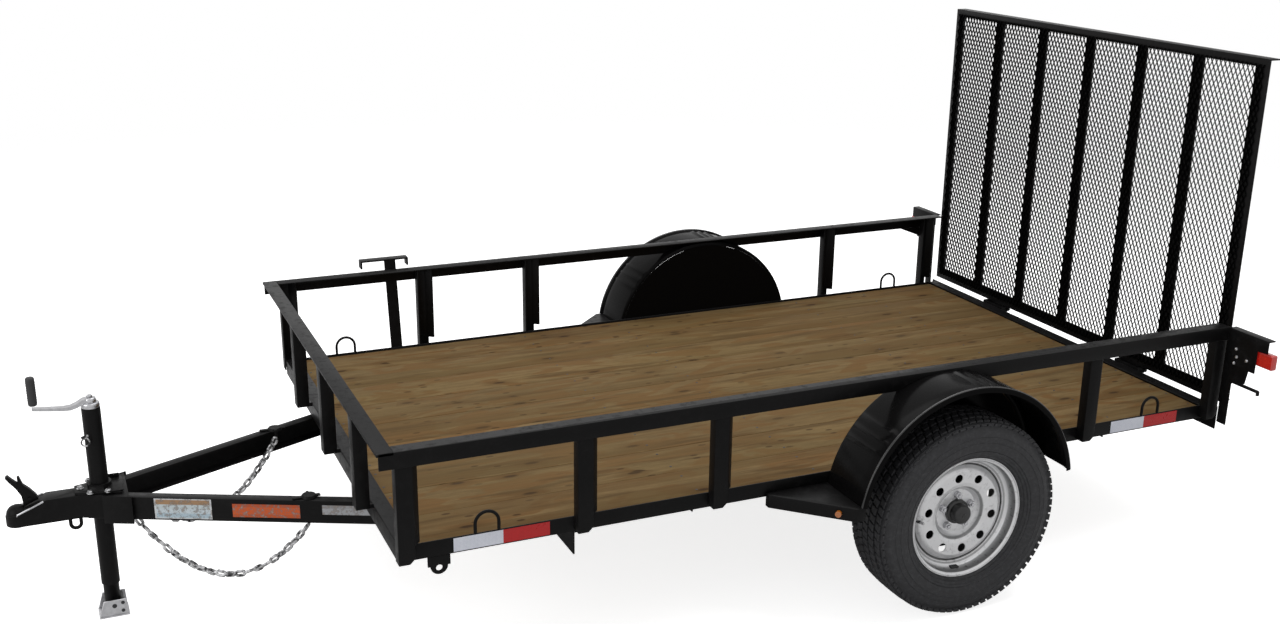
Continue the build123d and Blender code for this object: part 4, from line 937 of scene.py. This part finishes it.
def make_fender(side, sign):
    """Rolled fender sheet with pressed ribs and a wired lip, closed by its back plate."""
    centre = FENDER_CENTRE
    drop = FENDER_LOW.z - centre.z
    inner = abs(FENDER_HIGH.y)
    outer = abs(FENDER_LOW.y) - FENDER_TUCK
    start = math.asin(drop / FENDER_RADIUS)
    sweep = math.pi - 2 * start
    place = Matrix.Translation(centre) @ ON_SIDE
    bm = bmesh.new()
    r = FENDER_RADIUS
    shelf = inner + 0.012
    section = ((r - 0.016, inner + 0.0015), (r - 0.006, inner + 0.002), (r - 0.0018, inner + 0.005),
               (r, shelf), (r, outer - 0.052), (r - 0.0006, outer - 0.030), (r - 0.0035, outer - 0.016),
               (r - 0.0035, outer - 0.012), (r + 0.0002, outer - 0.0085), (r + 0.0036, outer - 0.0055),
               (r + 0.0036, outer - 0.0025), (r + 0.0012, outer - 0.0006), (r - 0.004, outer),
               (r - 0.0135, outer))
    profile = [(radius, -sign * across) for radius, across in section]
    made = spun(bm, profile, place, steps=150, angle=sweep, start=start)
    ribs = [math.radians(turn) for turn in FENDER_RIBS]
    for vert in made:
        flat = Vector((vert.co.x - centre.x, 0, vert.co.z - centre.z))
        across = abs(vert.co.y)
        if not shelf - 0.001 <= across <= outer - 0.028:
            continue
        angle = math.atan2(flat.z, -flat.x)
        lift = max(1.0 - abs(angle - rib) * flat.length / 0.0085 for rib in ribs)
        if lift > 0:
            vert.co += flat.normalized() * 0.0042 * min(1.0, lift * 1.6)
    bmesh.ops.solidify(bm, geom=list(bm.faces), thickness=0.0022)
    hand_over("fender_" + side + "_rolled", bm, "fender_enamel",
              replaces=["fender_" + side])
    lip = bmesh.new()
    ring = wire_ring(r + 0.0016, 0.0046, 12, -sign * (outer - 0.0035))
    spun(lip, ring, place, steps=120, angle=sweep - 0.004, start=start + 0.002)
    hand_over("fender_" + side + "_lip", lip, "lip_enamel")
    plate = bmesh.new()
    back = Matrix.Translation((centre.x, sign * (inner + 0.0018), centre.z)) @ ON_SIDE
    bmesh.ops.create_circle(plate, cap_ends=True, segments=200, radius=r - 0.0165, matrix=back)
    geometry = [*plate.verts, *plate.edges, *plate.faces]
    bmesh.ops.bisect_plane(plate, geom=geometry, plane_co=(0, 0, FENDER_LOW.z), plane_no=(0, 0, 1),
                           clear_inner=True)
    edge = bmesh.ops.extrude_face_region(plate, geom=list(plate.faces))
    bmesh.ops.translate(plate, vec=(0, -sign * 0.0026, 0), verts=verts_in(edge["geom"]))
    hand_over("fender_" + side + "_back", plate, "fender_enamel")


# ------------------------------------------------------------------ gate
def make_gate_mesh():
    """Expanded steel sheet: staggered diamonds of twisted strands, in one piece."""
    wide, tall, strand = look().mesh_wide, look().mesh_tall, look().mesh_strand
    span_y = MESH_HIGH.y - MESH_LOW.y
    span_z = MESH_HIGH.z - MESH_LOW.z
    columns = int(span_y / wide)
    rows = int(span_z / tall)
    step_y = span_y / columns
    step_z = span_z / rows
    centre_x = (MESH_LOW.x + MESH_HIGH.x) / 2
    bm = bmesh.new()
    half_y, half_z = step_y / 2, step_z / 2
    reach, depth = strand / 2, look().mesh_depth / 2
    # one zigzag strand from foot to head: pairs of verts, left and right of its line
    for column in range(2 * columns):
        start = MESH_LOW.y + column * half_y
        pair = []
        for row in range(2 * rows + 1):
            bend = (row + column) % 2
            y = start + (half_y if bend else 0.0)
            z = MESH_LOW.z + row * half_z
            left = bm.verts.new((centre_x - depth, max(MESH_LOW.y, y - reach), z))
            right = bm.verts.new((centre_x + depth, min(MESH_HIGH.y, y + reach), z))
            pair.append((left, right))
        for (a, b), (c, d) in zip(pair, pair[1:]):
            bm.faces.new((a, b, d, c))
    bmesh.ops.solidify(bm, geom=list(bm.faces), thickness=0.0011)
    hand_over("gate_mesh_expanded", bm, "mesh_paint", "gate", ["gate_mesh"])


# ------------------------------------------------------------------ jack, coupler and chains
def prism(bm, outline, half, edge):
    """A plate with an outline (station, height) on both sides of the centre line."""
    verts = [bm.verts.new((x + BED_START, -half, z)) for x, z in outline]
    face = bm.faces.new(verts)
    made = bmesh.ops.extrude_face_region(bm, geom=[face])["geom"]
    moved = verts_in(made)
    bmesh.ops.translate(bm, vec=(0, 2 * half, 0), verts=moved)
    round_edges(bm, sharp_edges(verts + moved, 0.3), edge)


# where the nose's upper face slopes down from the sleeve to the socket: station, height
SLOPE_TOP = (-0.842, 0.4403)
SLOPE_FOOT = (-0.934, 0.4060)


def make_coupler():
    """Pressed coupler: sleeve, sloping nose and the socket's dome, with its latch, loop and bolts."""
    bm = merged_copy("coupler")
    along = Vector((SLOPE_TOP[0] - SLOPE_FOOT[0], 0, SLOPE_TOP[1] - SLOPE_FOOT[1]))
    normal = Vector((-along.z, 0, along.x)).normalized()
    cut = bmesh.ops.bisect_plane(bm, geom=[*bm.verts, *bm.edges, *bm.faces], dist=1e-5,
                                 plane_co=(SLOPE_TOP[0] + BED_START, 0, SLOPE_TOP[1]), plane_no=normal,
                                 clear_outer=True)["geom_cut"]
    bmesh.ops.contextual_create(bm, geom=edges_in(cut))
    round_edges(bm, sharp_edges(bm.verts, 0.6), 0.0016, 2)
    low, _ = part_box("coupler")
    socket = Vector((-0.930 + BED_START, 0, low.z))
    spun(bm, ((0.0352, 0.004), (0.0352, 0.012), (0.0342, 0.034), (0.0310, 0.047), (0.0230, 0.057),
              (0.0120, 0.0625), (0.0, 0.064)), Matrix.Translation(socket), steps=48)
    spun(bm, ((0.0330, 0.0005), (0.0350, 0.0005), (0.0358, 0.0025), (0.0350, 0.0055), (0.0330, 0.0060)),
         Matrix.Translation(socket), steps=48)
    hand_over("coupler_pressed", bm, "powder_coat", replaces=["coupler"], outward=False)
    lever = bmesh.new()
    outline = ((-0.864, 0.4385), (-0.870, 0.4530), (-0.886, 0.4740), (-0.904, 0.4920), (-0.908, 0.5050),
               (-0.9125, 0.5195), (-0.9195, 0.5180), (-0.9185, 0.4985), (-0.933, 0.5130), (-0.945, 0.5270),
               (-0.953, 0.5210), (-0.943, 0.5050), (-0.926, 0.4820), (-0.913, 0.4560), (-0.9095, 0.4190))
    prism(lever, outline, 0.0105, 0.0018)
    rod(lever, (BED_START - 0.890, -0.016, 0.4440), (BED_START - 0.890, 0.016, 0.4440), 0.0055,
        segments=20, edge=0.001)
    hand_over("coupler_latch_lever", lever, "powder_coat", replaces=["coupler_latch"])
    bars = bmesh.new()
    for side in (-1, 1):
        y = side * 0.0350
        hook = (BED_START - 0.932, y, 0.4045)
        rod(bars, hook, (BED_START - 0.852, y, 0.4375), 0.0031, segments=14, edge=0.0008)
        rod(bars, hook, (hook[0], y * 0.9, 0.3960), 0.0028, segments=14)
    hand_over("coupler_latch_bars", bars, "bright_plate")
    loop = bmesh.new()
    reach, wire, drop = 0.0155, 0.0056, 0.018
    top = Vector((BED_START - 0.766, -0.030, low.z + 0.002))
    for side in (-1, 1):
        foot = top + Vector((side * reach, 0, 0))
        rod(loop, foot, foot - Vector((0, 0, drop)), wire, segments=16)
    spun(loop, wire_ring(reach, wire, 14), Matrix.Translation(top - Vector((0, 0, drop))) @ ON_SIDE,
         steps=20, angle=math.pi, start=math.pi)
    hand_over("coupler_loop", loop, "powder_coat")
    bolts = bmesh.new()
    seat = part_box("jack_plate")[0].z + 0.0083
    for x, y in ((-0.715, -0.050), (-0.715, 0.050), (-0.662, -0.056), (-0.662, 0.056), (-0.742, 0.0)):
        hex_head(bolts, (BED_START + x, y, seat), (0, 0, 1), 0.015, 0.007, 0.011, x * 40)
    hand_over("jack_plate_bolts", bolts, "chain_zinc")


def make_mount_sides():
    """Plates that clasp the arms behind the coupler, with an upright ear beside the jack."""
    bm = bmesh.new()
    for side in (-1, 1):
        place = Matrix.Translation((BED_START - 0.668, side * (TONGUE_SPREAD - 0.668 * TONGUE_SLOPE), 0))
        place = place @ Matrix.Rotation(side * TONGUE_LEAN, 4, "Z")
        y0, y1 = sorted((side * 0.0066, side * 0.0126))
        bar(bm, (-0.012, y0, 0.347), (0.082, y1, 0.4415), 0.0015, 2, place)
    bar(bm, (BED_START - 0.660, 0.040, 0.4490), (BED_START - 0.622, 0.046, 0.4660), 0.0012, 2)
    bar(bm, (BED_START - 0.664, -0.066, 0.4486), (BED_START - 0.616, 0.048, 0.4530), 0.0015, 2)
    hand_over("jack_mount_sides", bm, "powder_coat")


def make_jack_foot():
    """Folded galvanised shoe: sole, two drilled cheeks and the pin through the leg."""
    bm = bmesh.new()
    x, half, top = JACK.x, 0.033, 0.058
    bar(bm, (x - 0.047, -0.041, 0.0), (x + 0.047, 0.041, 0.0045), 0.0018, 2)
    for side in (-1, 1):
        verts = [bm.verts.new((x + across, side * half, z)) for across, z in
                 ((-0.045, 0.0042), (0.045, 0.0042), (0.041, top), (-0.030, top))]
        sheet = bm.faces.new(verts)
        made = bmesh.ops.extrude_face_region(bm, geom=[sheet])["geom"]
        moved = verts_in(made)
        bmesh.ops.translate(bm, vec=(0, side * 0.0042, 0), verts=moved)
        round_edges(bm, sharp_edges(verts + moved, 0.3), 0.0012, 1)
    hand_over("jack_foot_shoe", bm, "zinc_plate", replaces=["jack_foot"])
    pin = bmesh.new()
    for across, z, radius in ((0.002, 0.038, 0.0075), (0.028, 0.046, 0.0060), (0.027, 0.018, 0.0060)):
        rod(pin, (x + across, -half - 0.0058, z), (x + across, half + 0.0058, z), radius,
            segments=20, edge=0.0008)
    hand_over("jack_foot_pins", pin, "grip_plastic")
    pull = bmesh.new()
    z = 0.630
    rod(pull, (x - 0.0180, -0.020, z), (x - 0.036, -0.034, z), 0.0048, segments=16)
    spun(pull, wire_ring(0.0125, 0.0026, 10),
         Matrix.Translation((x - 0.027, -0.0385, z - 0.014)) @ ON_SIDE, steps=24)
    hand_over("jack_pull_pin", pull, "chain_zinc")


def make_jack():
    """Foot, crank with its swan-neck arm, ribbed grip and pull pin of the swivel jack."""
    soften("jack_tube", "powder_coat", 0.0)
    soften("jack_plate", "powder_coat", 0.0008)
    make_jack_foot()
    grip_low, grip_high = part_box("jack_grip")
    bm = bmesh.new()
    top = Vector((JACK.x, 0, JACK_TOP))
    rod(bm, top + Vector((0, 0, 0.0003)), top + Vector((0, 0, 0.017)), 0.0290, 0.0270, 32, 0.003)
    rod(bm, top + Vector((0, 0, 0.016)), top + Vector((0, 0, 0.032)), 0.0205, 0.0175, 28, 0.002)
    rod(bm, top + Vector((0, 0, 0.031)), top + Vector((0, 0, 0.040)), 0.009, 0.008, 20, 0.001)
    arm = ((0.004, 0.0250), (-0.022, 0.0215), (-0.040, 0.0120), (-0.058, 0.0060), (-0.080, 0.0055),
           (-0.125, 0.0105), (-0.168, 0.0158))
    rails = []
    for index, (x, z) in enumerate(arm):
        taper = 0.0050 * index / (len(arm) - 1)
        half, deep = 0.0150 - taper, 0.0085 - taper
        corners = [bm.verts.new(top + Vector((x, y, z + h)))
                   for y, h in ((-half, -deep), (half, -deep), (half, deep), (-half, deep))]
        rails.append(corners)
    for a, b in zip(rails, rails[1:]):
        for i in range(4):
            bm.faces.new((a[i], a[(i + 1) % 4], b[(i + 1) % 4], b[i]))
    bm.faces.new(rails[0][::-1])
    bm.faces.new(rails[-1])
    round_edges(bm, [e for e in edges_of([v for ring in rails for v in ring]) if e.calc_face_angle(0) > 0.8],
                0.0018, 2)
    hand_over("jack_crank_forged", bm, "bright_plate", replaces=["jack_crank"])
    grip = bmesh.new()
    foot = Vector(((grip_low.x + grip_high.x) / 2 - 0.018, 0, grip_low.z))
    length = grip_high.z - grip_low.z
    profile = [(0.0, 0.0), (0.0112, 0.0), (0.0130, 0.003)]
    rings = 9
    for index in range(rings):
        z = 0.006 + (length - 0.020) * index / rings
        profile += [(0.0134, z), (0.0142, z + 0.0035), (0.0134, z + 0.0075)]
    profile += [(0.0138, length - 0.010), (0.0130, length - 0.004), (0.0098, length - 0.0008), (0.0, length)]
    spun(grip, profile, Matrix.Translation(foot), steps=28)
    bmesh.ops.remove_doubles(grip, verts=grip.verts, dist=1e-5)
    hand_over("jack_grip_ribbed", grip, "grip_plastic", replaces=["jack_grip"])


def make_chain_hooks():
    """Forged hooks over the arms' top flanges, each with its flat shoulder."""
    soften("chain_hooks", "powder_coat", 0.0)
    bm = bmesh.new()
    low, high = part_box("chain_hooks")
    top = high.z - 0.0095
    x = low.x + 0.005
    for side in (-1, 1):
        y = side * (high.y - 0.016)
        rod(bm, (x, y, top - 0.0002), (x, y, top + 0.009), 0.027, 0.021, segments=28, edge=0.002)
        bar(bm, (x - 0.052, y - 0.008, top), (x + 0.036, y + 0.008, top + 0.0055), 0.002, 2)
    hand_over("chain_hook_shoulders", bm, "powder_coat")


LINK_SIDES = 8
LINK_BEND_STEPS = 8


def oval_link(bm, place, length, width, wire):
    """A welded oval link lying along the place's own X axis."""
    straight = (length - width) / 2
    bend = width / 2 - wire
    across = Matrix.Translation((straight, bend, 0)) @ Matrix.Rotation(math.radians(90), 4, "Y")
    ring = bmesh.ops.create_circle(bm, segments=LINK_SIDES, radius=wire, matrix=across)
    last = edges_of(ring["verts"]) + list(ring["verts"])
    for way in (1, -1):
        tip = bmesh.ops.spin(bm, geom=last, cent=(way * straight, 0, 0), axis=(0, 0, 1), angle=-math.pi,
                             steps=LINK_BEND_STEPS, use_duplicate=False)["geom_last"]
        side = bmesh.ops.extrude_edge_only(bm, edges=edges_in(tip))["geom"]
        moved = verts_in(side)
        bmesh.ops.translate(bm, vec=(-way * 2 * straight, 0, 0), verts=moved)
        last = moved + edges_in(side)
    island = connected(ring["verts"])
    bmesh.ops.remove_doubles(bm, verts=island, dist=1e-5)
    island = connected([v for v in ring["verts"] if v.is_valid] or [v for v in island if v.is_valid])
    bmesh.ops.transform(bm, matrix=place, verts=island)


def connected(verts):
    """Every vertex joined to these by edges."""
    found, queue = set(verts), list(verts)
    while queue:
        for edge in queue.pop().link_edges:
            for vert in edge.verts:
                if vert not in found:
                    found.add(vert)
                    queue.append(vert)
    return list(found)


def islands(node):
    """Centre, long axis and face axis of each separate solid of a CAD node."""
    bm = merged_copy(node)
    seen, found = set(), []
    for vert in bm.verts:
        if vert in seen:
            continue
        group = connected([vert])
        seen.update(group)
        centre = sum((v.co for v in group), Vector()) / len(group)
        far = max(group, key=lambda v: (v.co - centre).length)
        along = (far.co - centre).normalized()
        low = min(group, key=lambda v: abs((v.co - centre).dot(along)) * 4 + (v.co - centre).length)
        flat = [v for v in group if abs((v.co - centre).dot(along)) < 0.3 * (far.co - centre).length]
        wide = max(flat, key=lambda v: (v.co - centre).length) if flat else low
        side = (wide.co - centre) - along * (wide.co - centre).dot(along)
        found.append((centre, along, side.normalized(), (far.co - centre).length, side.length))
    bm.free()
    return found


# share of its full sag at which each chain's links are drawn
CHAIN_TAUT = {"left": 1.0, "right": 0.9}


def make_chain(side):
    """Round-wire links in the places of the plain ones."""
    node = "safety_chain_" + side
    bm = bmesh.new()
    places = islands(node)
    crest = max(one[0].z for one in places)
    for centre, along, across, half_length, half_width in places:
        centre = Vector((centre.x, centre.y, crest - (crest - centre.z) * CHAIN_TAUT[side]))
        normal = along.cross(across)
        place = Matrix((along, across, normal)).transposed().to_4x4()
        place.translation = centre
        oval_link(bm, place, 2 * half_length, 2 * half_width, 0.0051)
    hand_over(node + "_links", bm, "chain_zinc", replaces=[node])


# ------------------------------------------------------------------ lamps, plates and tape
# how much narrower and shallower each lamp is than its plain block
LAMP_TUCK = 0.026
LAMP_SHALLOW = 0.015
LENS_RIBS = 9


def make_lamps():
    """Tail lamps with ribbed lenses on black bases."""
    for side, sign in SIDES:
        low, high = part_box("tail_lamp_" + side)
        (high if sign > 0 else low).y -= sign * LAMP_TUCK
        high.x -= LAMP_SHALLOW
        bm = bmesh.new()
        inner = (low if sign > 0 else high).y
        y0, y1 = sorted((inner + sign * 0.002, inner + sign * 0.018))
        bar(bm, (low.x, y0, low.z + 0.010), (low.x + 0.006, y1, high.z - 0.010), 0.002, 3)
        hand_over("tail_lamp_" + side + "_base", bm, "grip_plastic")
        cover = bmesh.new()
        bar(cover, (low.x + 0.002, low.y, low.z), (high.x - 0.002, high.y, high.z), 0.006, 4)
        for index in range(LENS_RIBS):
            z = low.z + 0.008 + (high.z - low.z - 0.016) * index / (LENS_RIBS - 1)
            bar(cover, (high.x - 0.004, low.y + 0.007, z - 0.0016),
                (high.x - 0.0002, high.y - 0.007, z + 0.0016), 0.0008, 1)
        hand_over("tail_lamp_" + side + "_lens", cover, "red_lens",
                  replaces=["tail_lamp_" + side])


# place along the bed and side of each loop
TIE_DOWNS = ((0.325, -1), (2.800, -1), (0.295, 1), (2.810, 1))
TIE_DOWN_Y = 0.8595
TIE_DOWN_REACH = 0.036
TIE_DOWN_ROD = 0.0050


def make_tie_downs():
    """Round-topped loops standing on the side rails."""
    low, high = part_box("tie_downs")
    crown = high.z - TIE_DOWN_ROD - TIE_DOWN_REACH
    bm = bmesh.new()
    for x, side in TIE_DOWNS:
        centre = Vector((x + BED_START, side * TIE_DOWN_Y, crown))
        for hand in (-1, 1):
            foot = Vector((centre.x + hand * TIE_DOWN_REACH, centre.y, low.z + 0.0004))
            rod(bm, foot, (foot.x, foot.y, crown), TIE_DOWN_ROD, segments=14)
        spun(bm, wire_ring(TIE_DOWN_REACH, TIE_DOWN_ROD, 14), Matrix.Translation(centre) @ ON_SIDE,
             steps=20, angle=math.pi)
    hand_over("tie_down_loops", bm, "powder_coat", replaces=["tie_downs"])


# distance from the centre line and height of each screw
BRACKET_BOLTS = ((0.948, 0.679), (0.9555, 0.704), (1.002, 0.704), (0.950, 0.732))


def make_bracket_bolts():
    """Small screws on the front of both light brackets."""
    bm = bmesh.new()
    for side, sign in SIDES:
        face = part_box("light_bracket_" + side)[0].x
        for y, z in BRACKET_BOLTS:
            hex_head(bm, (face + 0.0002, sign * y, z), (-1, 0, 0), 0.0085, 0.0040, 0.0060, y * 50)
    hand_over("bracket_screws", bm, "zinc_plate")


# where each strip starts and ends along the rail
TAPES = ((0.222, 0.373, "silver_tape"), (0.373, 0.518, "red_tape"), (2.627, 2.776, "silver_tape"),
         (2.776, 2.928, "red_tape"))


def make_tapes():
    """Red and white reflective tape on both side rails."""
    for side, sign in SIDES:
        face = sign * abs(RAIL_LOW.y)
        for index, (x0, x1, finish) in enumerate(TAPES):
            bm = bmesh.new()
            y0, y1 = sorted((face, face + sign * 0.0006))
            bar(bm, (x0 + BED_START, y0, RAIL_LOW.z + 0.004),
                (x1 + BED_START, y1, RAIL_HIGH.z - 0.003), 0.0002, 1)
            hand_over("tape_%s_%d" % (side, index + 1), bm, finish)


# start and end along the bed, and foot and top above the arm's lower edge
PLATES = (("plate_front_edge", -0.535, -0.371, 0.0050, 0.0735, "white_plate"),
          ("plate_front", -0.530, -0.376, 0.0090, 0.0700, "inner_plate"),
          ("plate_middle", -0.311, -0.118, 0.0155, 0.0605, "orange_plate"),
          ("plate_rear", -0.054, 0.085, 0.030, 0.062, "silver_plate"))


def make_plates():
    """Blank plates on the near arm's outer face."""
    for name, x0, x1, z0, z1, finish in PLATES:
        bm = bmesh.new()
        out = 0.0004 if name.endswith("edge") else 0.0008
        length = (x1 - x0) / math.cos(TONGUE_LEAN)
        bar(bm, (0, -out, ARM_LOW.z + z0), (length, 0, ARM_LOW.z + z1), 0.0001, 1)
        half = TONGUE_SPREAD + x0 * TONGUE_SLOPE
        place = Matrix.Translation((x0 + BED_START, -half, 0)) @ Matrix.Rotation(-TONGUE_LEAN, 4, "Z")
        bmesh.ops.transform(bm, matrix=place, verts=bm.verts)
        hand_over(name, bm, finish)


# ------------------------------------------------------------------ studio
CAMERA_PLACE = Vector((BED_START - 0.7979, -4.4896, 2.3553))
CAMERA_YAW, CAMERA_PITCH, CAMERA_ROLL = 0.4185, -0.3188, 0.0129
CAMERA_FOCAL, FRAME_WIDTH, FRAME_HEIGHT = 1430.1, 1280.0, 624.0
CAMERA_CENTRE = (644.0, 331.8)
SENSOR = 36.0
# strength of the surround's own light on the trailer, where what is seen of it has 1
FILL_LIGHT = 0.36


def make_camera():
    """Camera with the lens and lean that the studio view needs."""
    level = math.cos(CAMERA_PITCH)
    forward = Vector((math.sin(CAMERA_YAW) * level, math.cos(CAMERA_YAW) * level, math.sin(CAMERA_PITCH)))
    right = forward.cross(Vector((0, 0, 1))).normalized()
    up = right.cross(forward)
    right, up = (right * math.cos(CAMERA_ROLL) + up * math.sin(CAMERA_ROLL),
                 up * math.cos(CAMERA_ROLL) - right * math.sin(CAMERA_ROLL))
    turn = Matrix((right, up, -forward)).transposed().to_4x4()
    data = bpy.data.cameras.new("studio_camera")
    data.sensor_width = SENSOR
    data.lens = CAMERA_FOCAL / FRAME_WIDTH * SENSOR
    data.shift_x = -(CAMERA_CENTRE[0] - FRAME_WIDTH / 2) / FRAME_WIDTH
    data.shift_y = (CAMERA_CENTRE[1] - FRAME_HEIGHT / 2) / FRAME_WIDTH
    camera = bpy.data.objects.new("studio_camera", data)
    camera.matrix_world = Matrix.Translation(CAMERA_PLACE) @ turn
    bpy.context.scene.collection.objects.link(camera)
    bpy.context.scene.camera = camera


def make_light(name, place, target, size, power):
    data = bpy.data.lights.new(name, "AREA")
    data.shape = "RECTANGLE"
    data.size, data.size_y = size
    data.energy = power
    lamp = bpy.data.objects.new(name, data)
    lamp.matrix_world = Matrix.Translation(Vector(place)) @ (
        Vector(target) - Vector(place)).to_track_quat("-Z", "Y").to_matrix().to_4x4()
    bpy.context.scene.collection.objects.link(lamp)


def make_world():
    """Even grey light, with a white surround for the camera and for reflections' far field."""
    world = bpy.data.worlds.new("studio")
    bpy.context.scene.world = world
    world.use_nodes = True
    tree = world.node_tree
    back = tree.nodes["Background"]
    paths = tree.nodes.new("ShaderNodeLightPath").outputs

    def either(first, second):
        made = tree.nodes.new("ShaderNodeMath")
        made.operation = "MAXIMUM"
        tree.links.new(first, made.inputs[0])
        tree.links.new(second, made.inputs[1])
        return made.outputs[0]

    seen = either(paths["Is Camera Ray"], paths["Is Transmission Ray"])
    level = tree.nodes.new("ShaderNodeMapRange")
    level.inputs["To Min"].default_value = FILL_LIGHT
    tree.links.new(either(paths["Is Glossy Ray"], seen), level.inputs["Value"])
    tree.links.new(level.outputs[0], back.inputs["Strength"])
    back.inputs["Color"].default_value = (1, 1, 1, 1)


def make_floor():
    """Level studio floor under the wheels."""
    bm = bmesh.new()
    bmesh.ops.create_grid(bm, x_segments=2, y_segments=2, size=12.0)
    mesh = bpy.data.meshes.new("floor")
    bm.to_mesh(mesh)
    bm.free()
    floor = bpy.data.objects.new("floor", mesh)
    mesh.materials.append(finish_for("floor_finish"))
    bpy.context.scene.collection.objects.link(floor)


# ------------------------------------------------------------------ operators
class TRAILER_OT_bed(bpy.types.Operator):
    """Finishes the rails, posts, crossmembers and deck"""
    bl_idname = "trailer.bed"
    bl_label = "Bed"

    def execute(self, context):
        for node in ("side_rail_left", "side_rail_right", "header_front", "header_rear", "crossmembers",
                     "crossmember_tongue", "posts_left", "posts_right", "top_rail_left", "top_rail_right",
                     "gusset"):
            soften(node, "powder_coat")
        make_front_rail()
        make_boards()
        make_deck_screws()
        return {"FINISHED"}


class TRAILER_OT_wheels(bpy.types.Operator):
    """Builds the tyres, rims and hubs"""
    bl_idname = "trailer.wheels"
    bl_label = "Wheels"

    def execute(self, context):
        for side, sign in SIDES:
            make_tire(side)
            make_rim(side, sign)
            make_hub(side, sign)
        for node in ("axle_beam", "leaf_spring_left", "leaf_spring_right", "spring_hangers"):
            soften(node, "powder_coat", 0.0)
        soften("spring_plates", "zinc_plate", 0.0)
        return {"FINISHED"}


class TRAILER_OT_fenders(bpy.types.Operator):
    """Rolls the fenders and finishes their braces"""
    bl_idname = "trailer.fenders"
    bl_label = "Fenders"

    def execute(self, context):
        for side, sign in SIDES:
            make_fender(side, sign)
            soften("fender_brace_" + side, "powder_coat")
        return {"FINISHED"}


class TRAILER_OT_gate(bpy.types.Operator):
    """Builds the ramp gate, its sheet and its hinges"""
    bl_idname = "trailer.gate"
    bl_label = "Gate"

    def execute(self, context):
        soften("gate_frame", "powder_coat", body="gate")
        soften("gate_knuckles", "powder_coat", 0.0, body="gate")
        soften("hinge_brackets", "powder_coat", 0.0)
        make_gate_mesh()
        return {"FINISHED"}


class TRAILER_OT_tongue(bpy.types.Operator):
    """Finishes the tongue, coupler, jack and chains"""
    bl_idname = "trailer.tongue"
    bl_label = "Tongue"

    def execute(self, context):
        for node in ("tongue_arm_left", "tongue_arm_right"):
            soften(node, "powder_coat")
        make_coupler()
        make_mount_sides()
        make_chain_hooks()
        make_jack()
        for side, _ in SIDES:
            make_chain(side)
        return {"FINISHED"}


class TRAILER_OT_fittings(bpy.types.Operator):
    """Finishes the lamps, brackets, loops, tapes and plates"""
    bl_idname = "trailer.fittings"
    bl_label = "Fittings"

    def execute(self, context):
        for node in ("light_bracket_left", "light_bracket_right", "spare_carrier", "chain_tab"):
            soften(node, "powder_coat", 0.0008)
        soften("latch_rod", "powder_coat", 0.0)
        make_tie_downs()
        make_bracket_bolts()
        soften("marker_lamps", "amber_lens", 0.0)
        make_lamps()
        make_tapes()
        make_plates()
        return {"FINISHED"}


class TRAILER_OT_stage(bpy.types.Operator):
    """Sets up the floor, the lights and the camera"""
    bl_idname = "trailer.stage"
    bl_label = "Studio"

    def execute(self, context):
        make_camera()
        make_world()
        make_floor()
        make_light("overhead", (0.4, 0.3, 5.2), (0.2, 0, 0.4), (6.5, 4.5), 240)
        make_light("front_soft", (-5.2, -1.6, 2.6), (-0.4, 0, 0.6), (3.0, 3.0), 66)
        context.scene.view_settings.view_transform = "Standard"
        return {"FINISHED"}


OPERATORS = (TRAILER_OT_bed, TRAILER_OT_wheels, TRAILER_OT_fenders, TRAILER_OT_gate, TRAILER_OT_tongue,
             TRAILER_OT_fittings, TRAILER_OT_stage)


class TRAILER_PT_panel(bpy.types.Panel):
    """Lists the trailer's sizes, colours and pieces"""
    bl_idname = "TRAILER_PT_panel"
    bl_label = "Trailer"
    bl_space_type = "VIEW_3D"
    bl_region_type = "UI"
    bl_category = "Trailer"

    def draw(self, context):
        for name in TrailerLook.__annotations__:
            self.layout.prop(context.scene.trailer_look, name)
        for operator in OPERATORS:
            self.layout.operator(operator.bl_idname)


CLASSES = (TrailerLook, *OPERATORS, TRAILER_PT_panel)


def register():
    for one in CLASSES:
        bpy.utils.register_class(one)
    bpy.types.Scene.trailer_look = bpy.props.PointerProperty(type=TrailerLook)


def unregister():
    del bpy.types.Scene.trailer_look
    for one in reversed(CLASSES):
        bpy.utils.unregister_class(one)


def main():
    register()
    for operator in OPERATORS:
        family, name = operator.bl_idname.split(".")
        getattr(getattr(bpy.ops, family), name)()


if __name__ == "__main__":
    main()
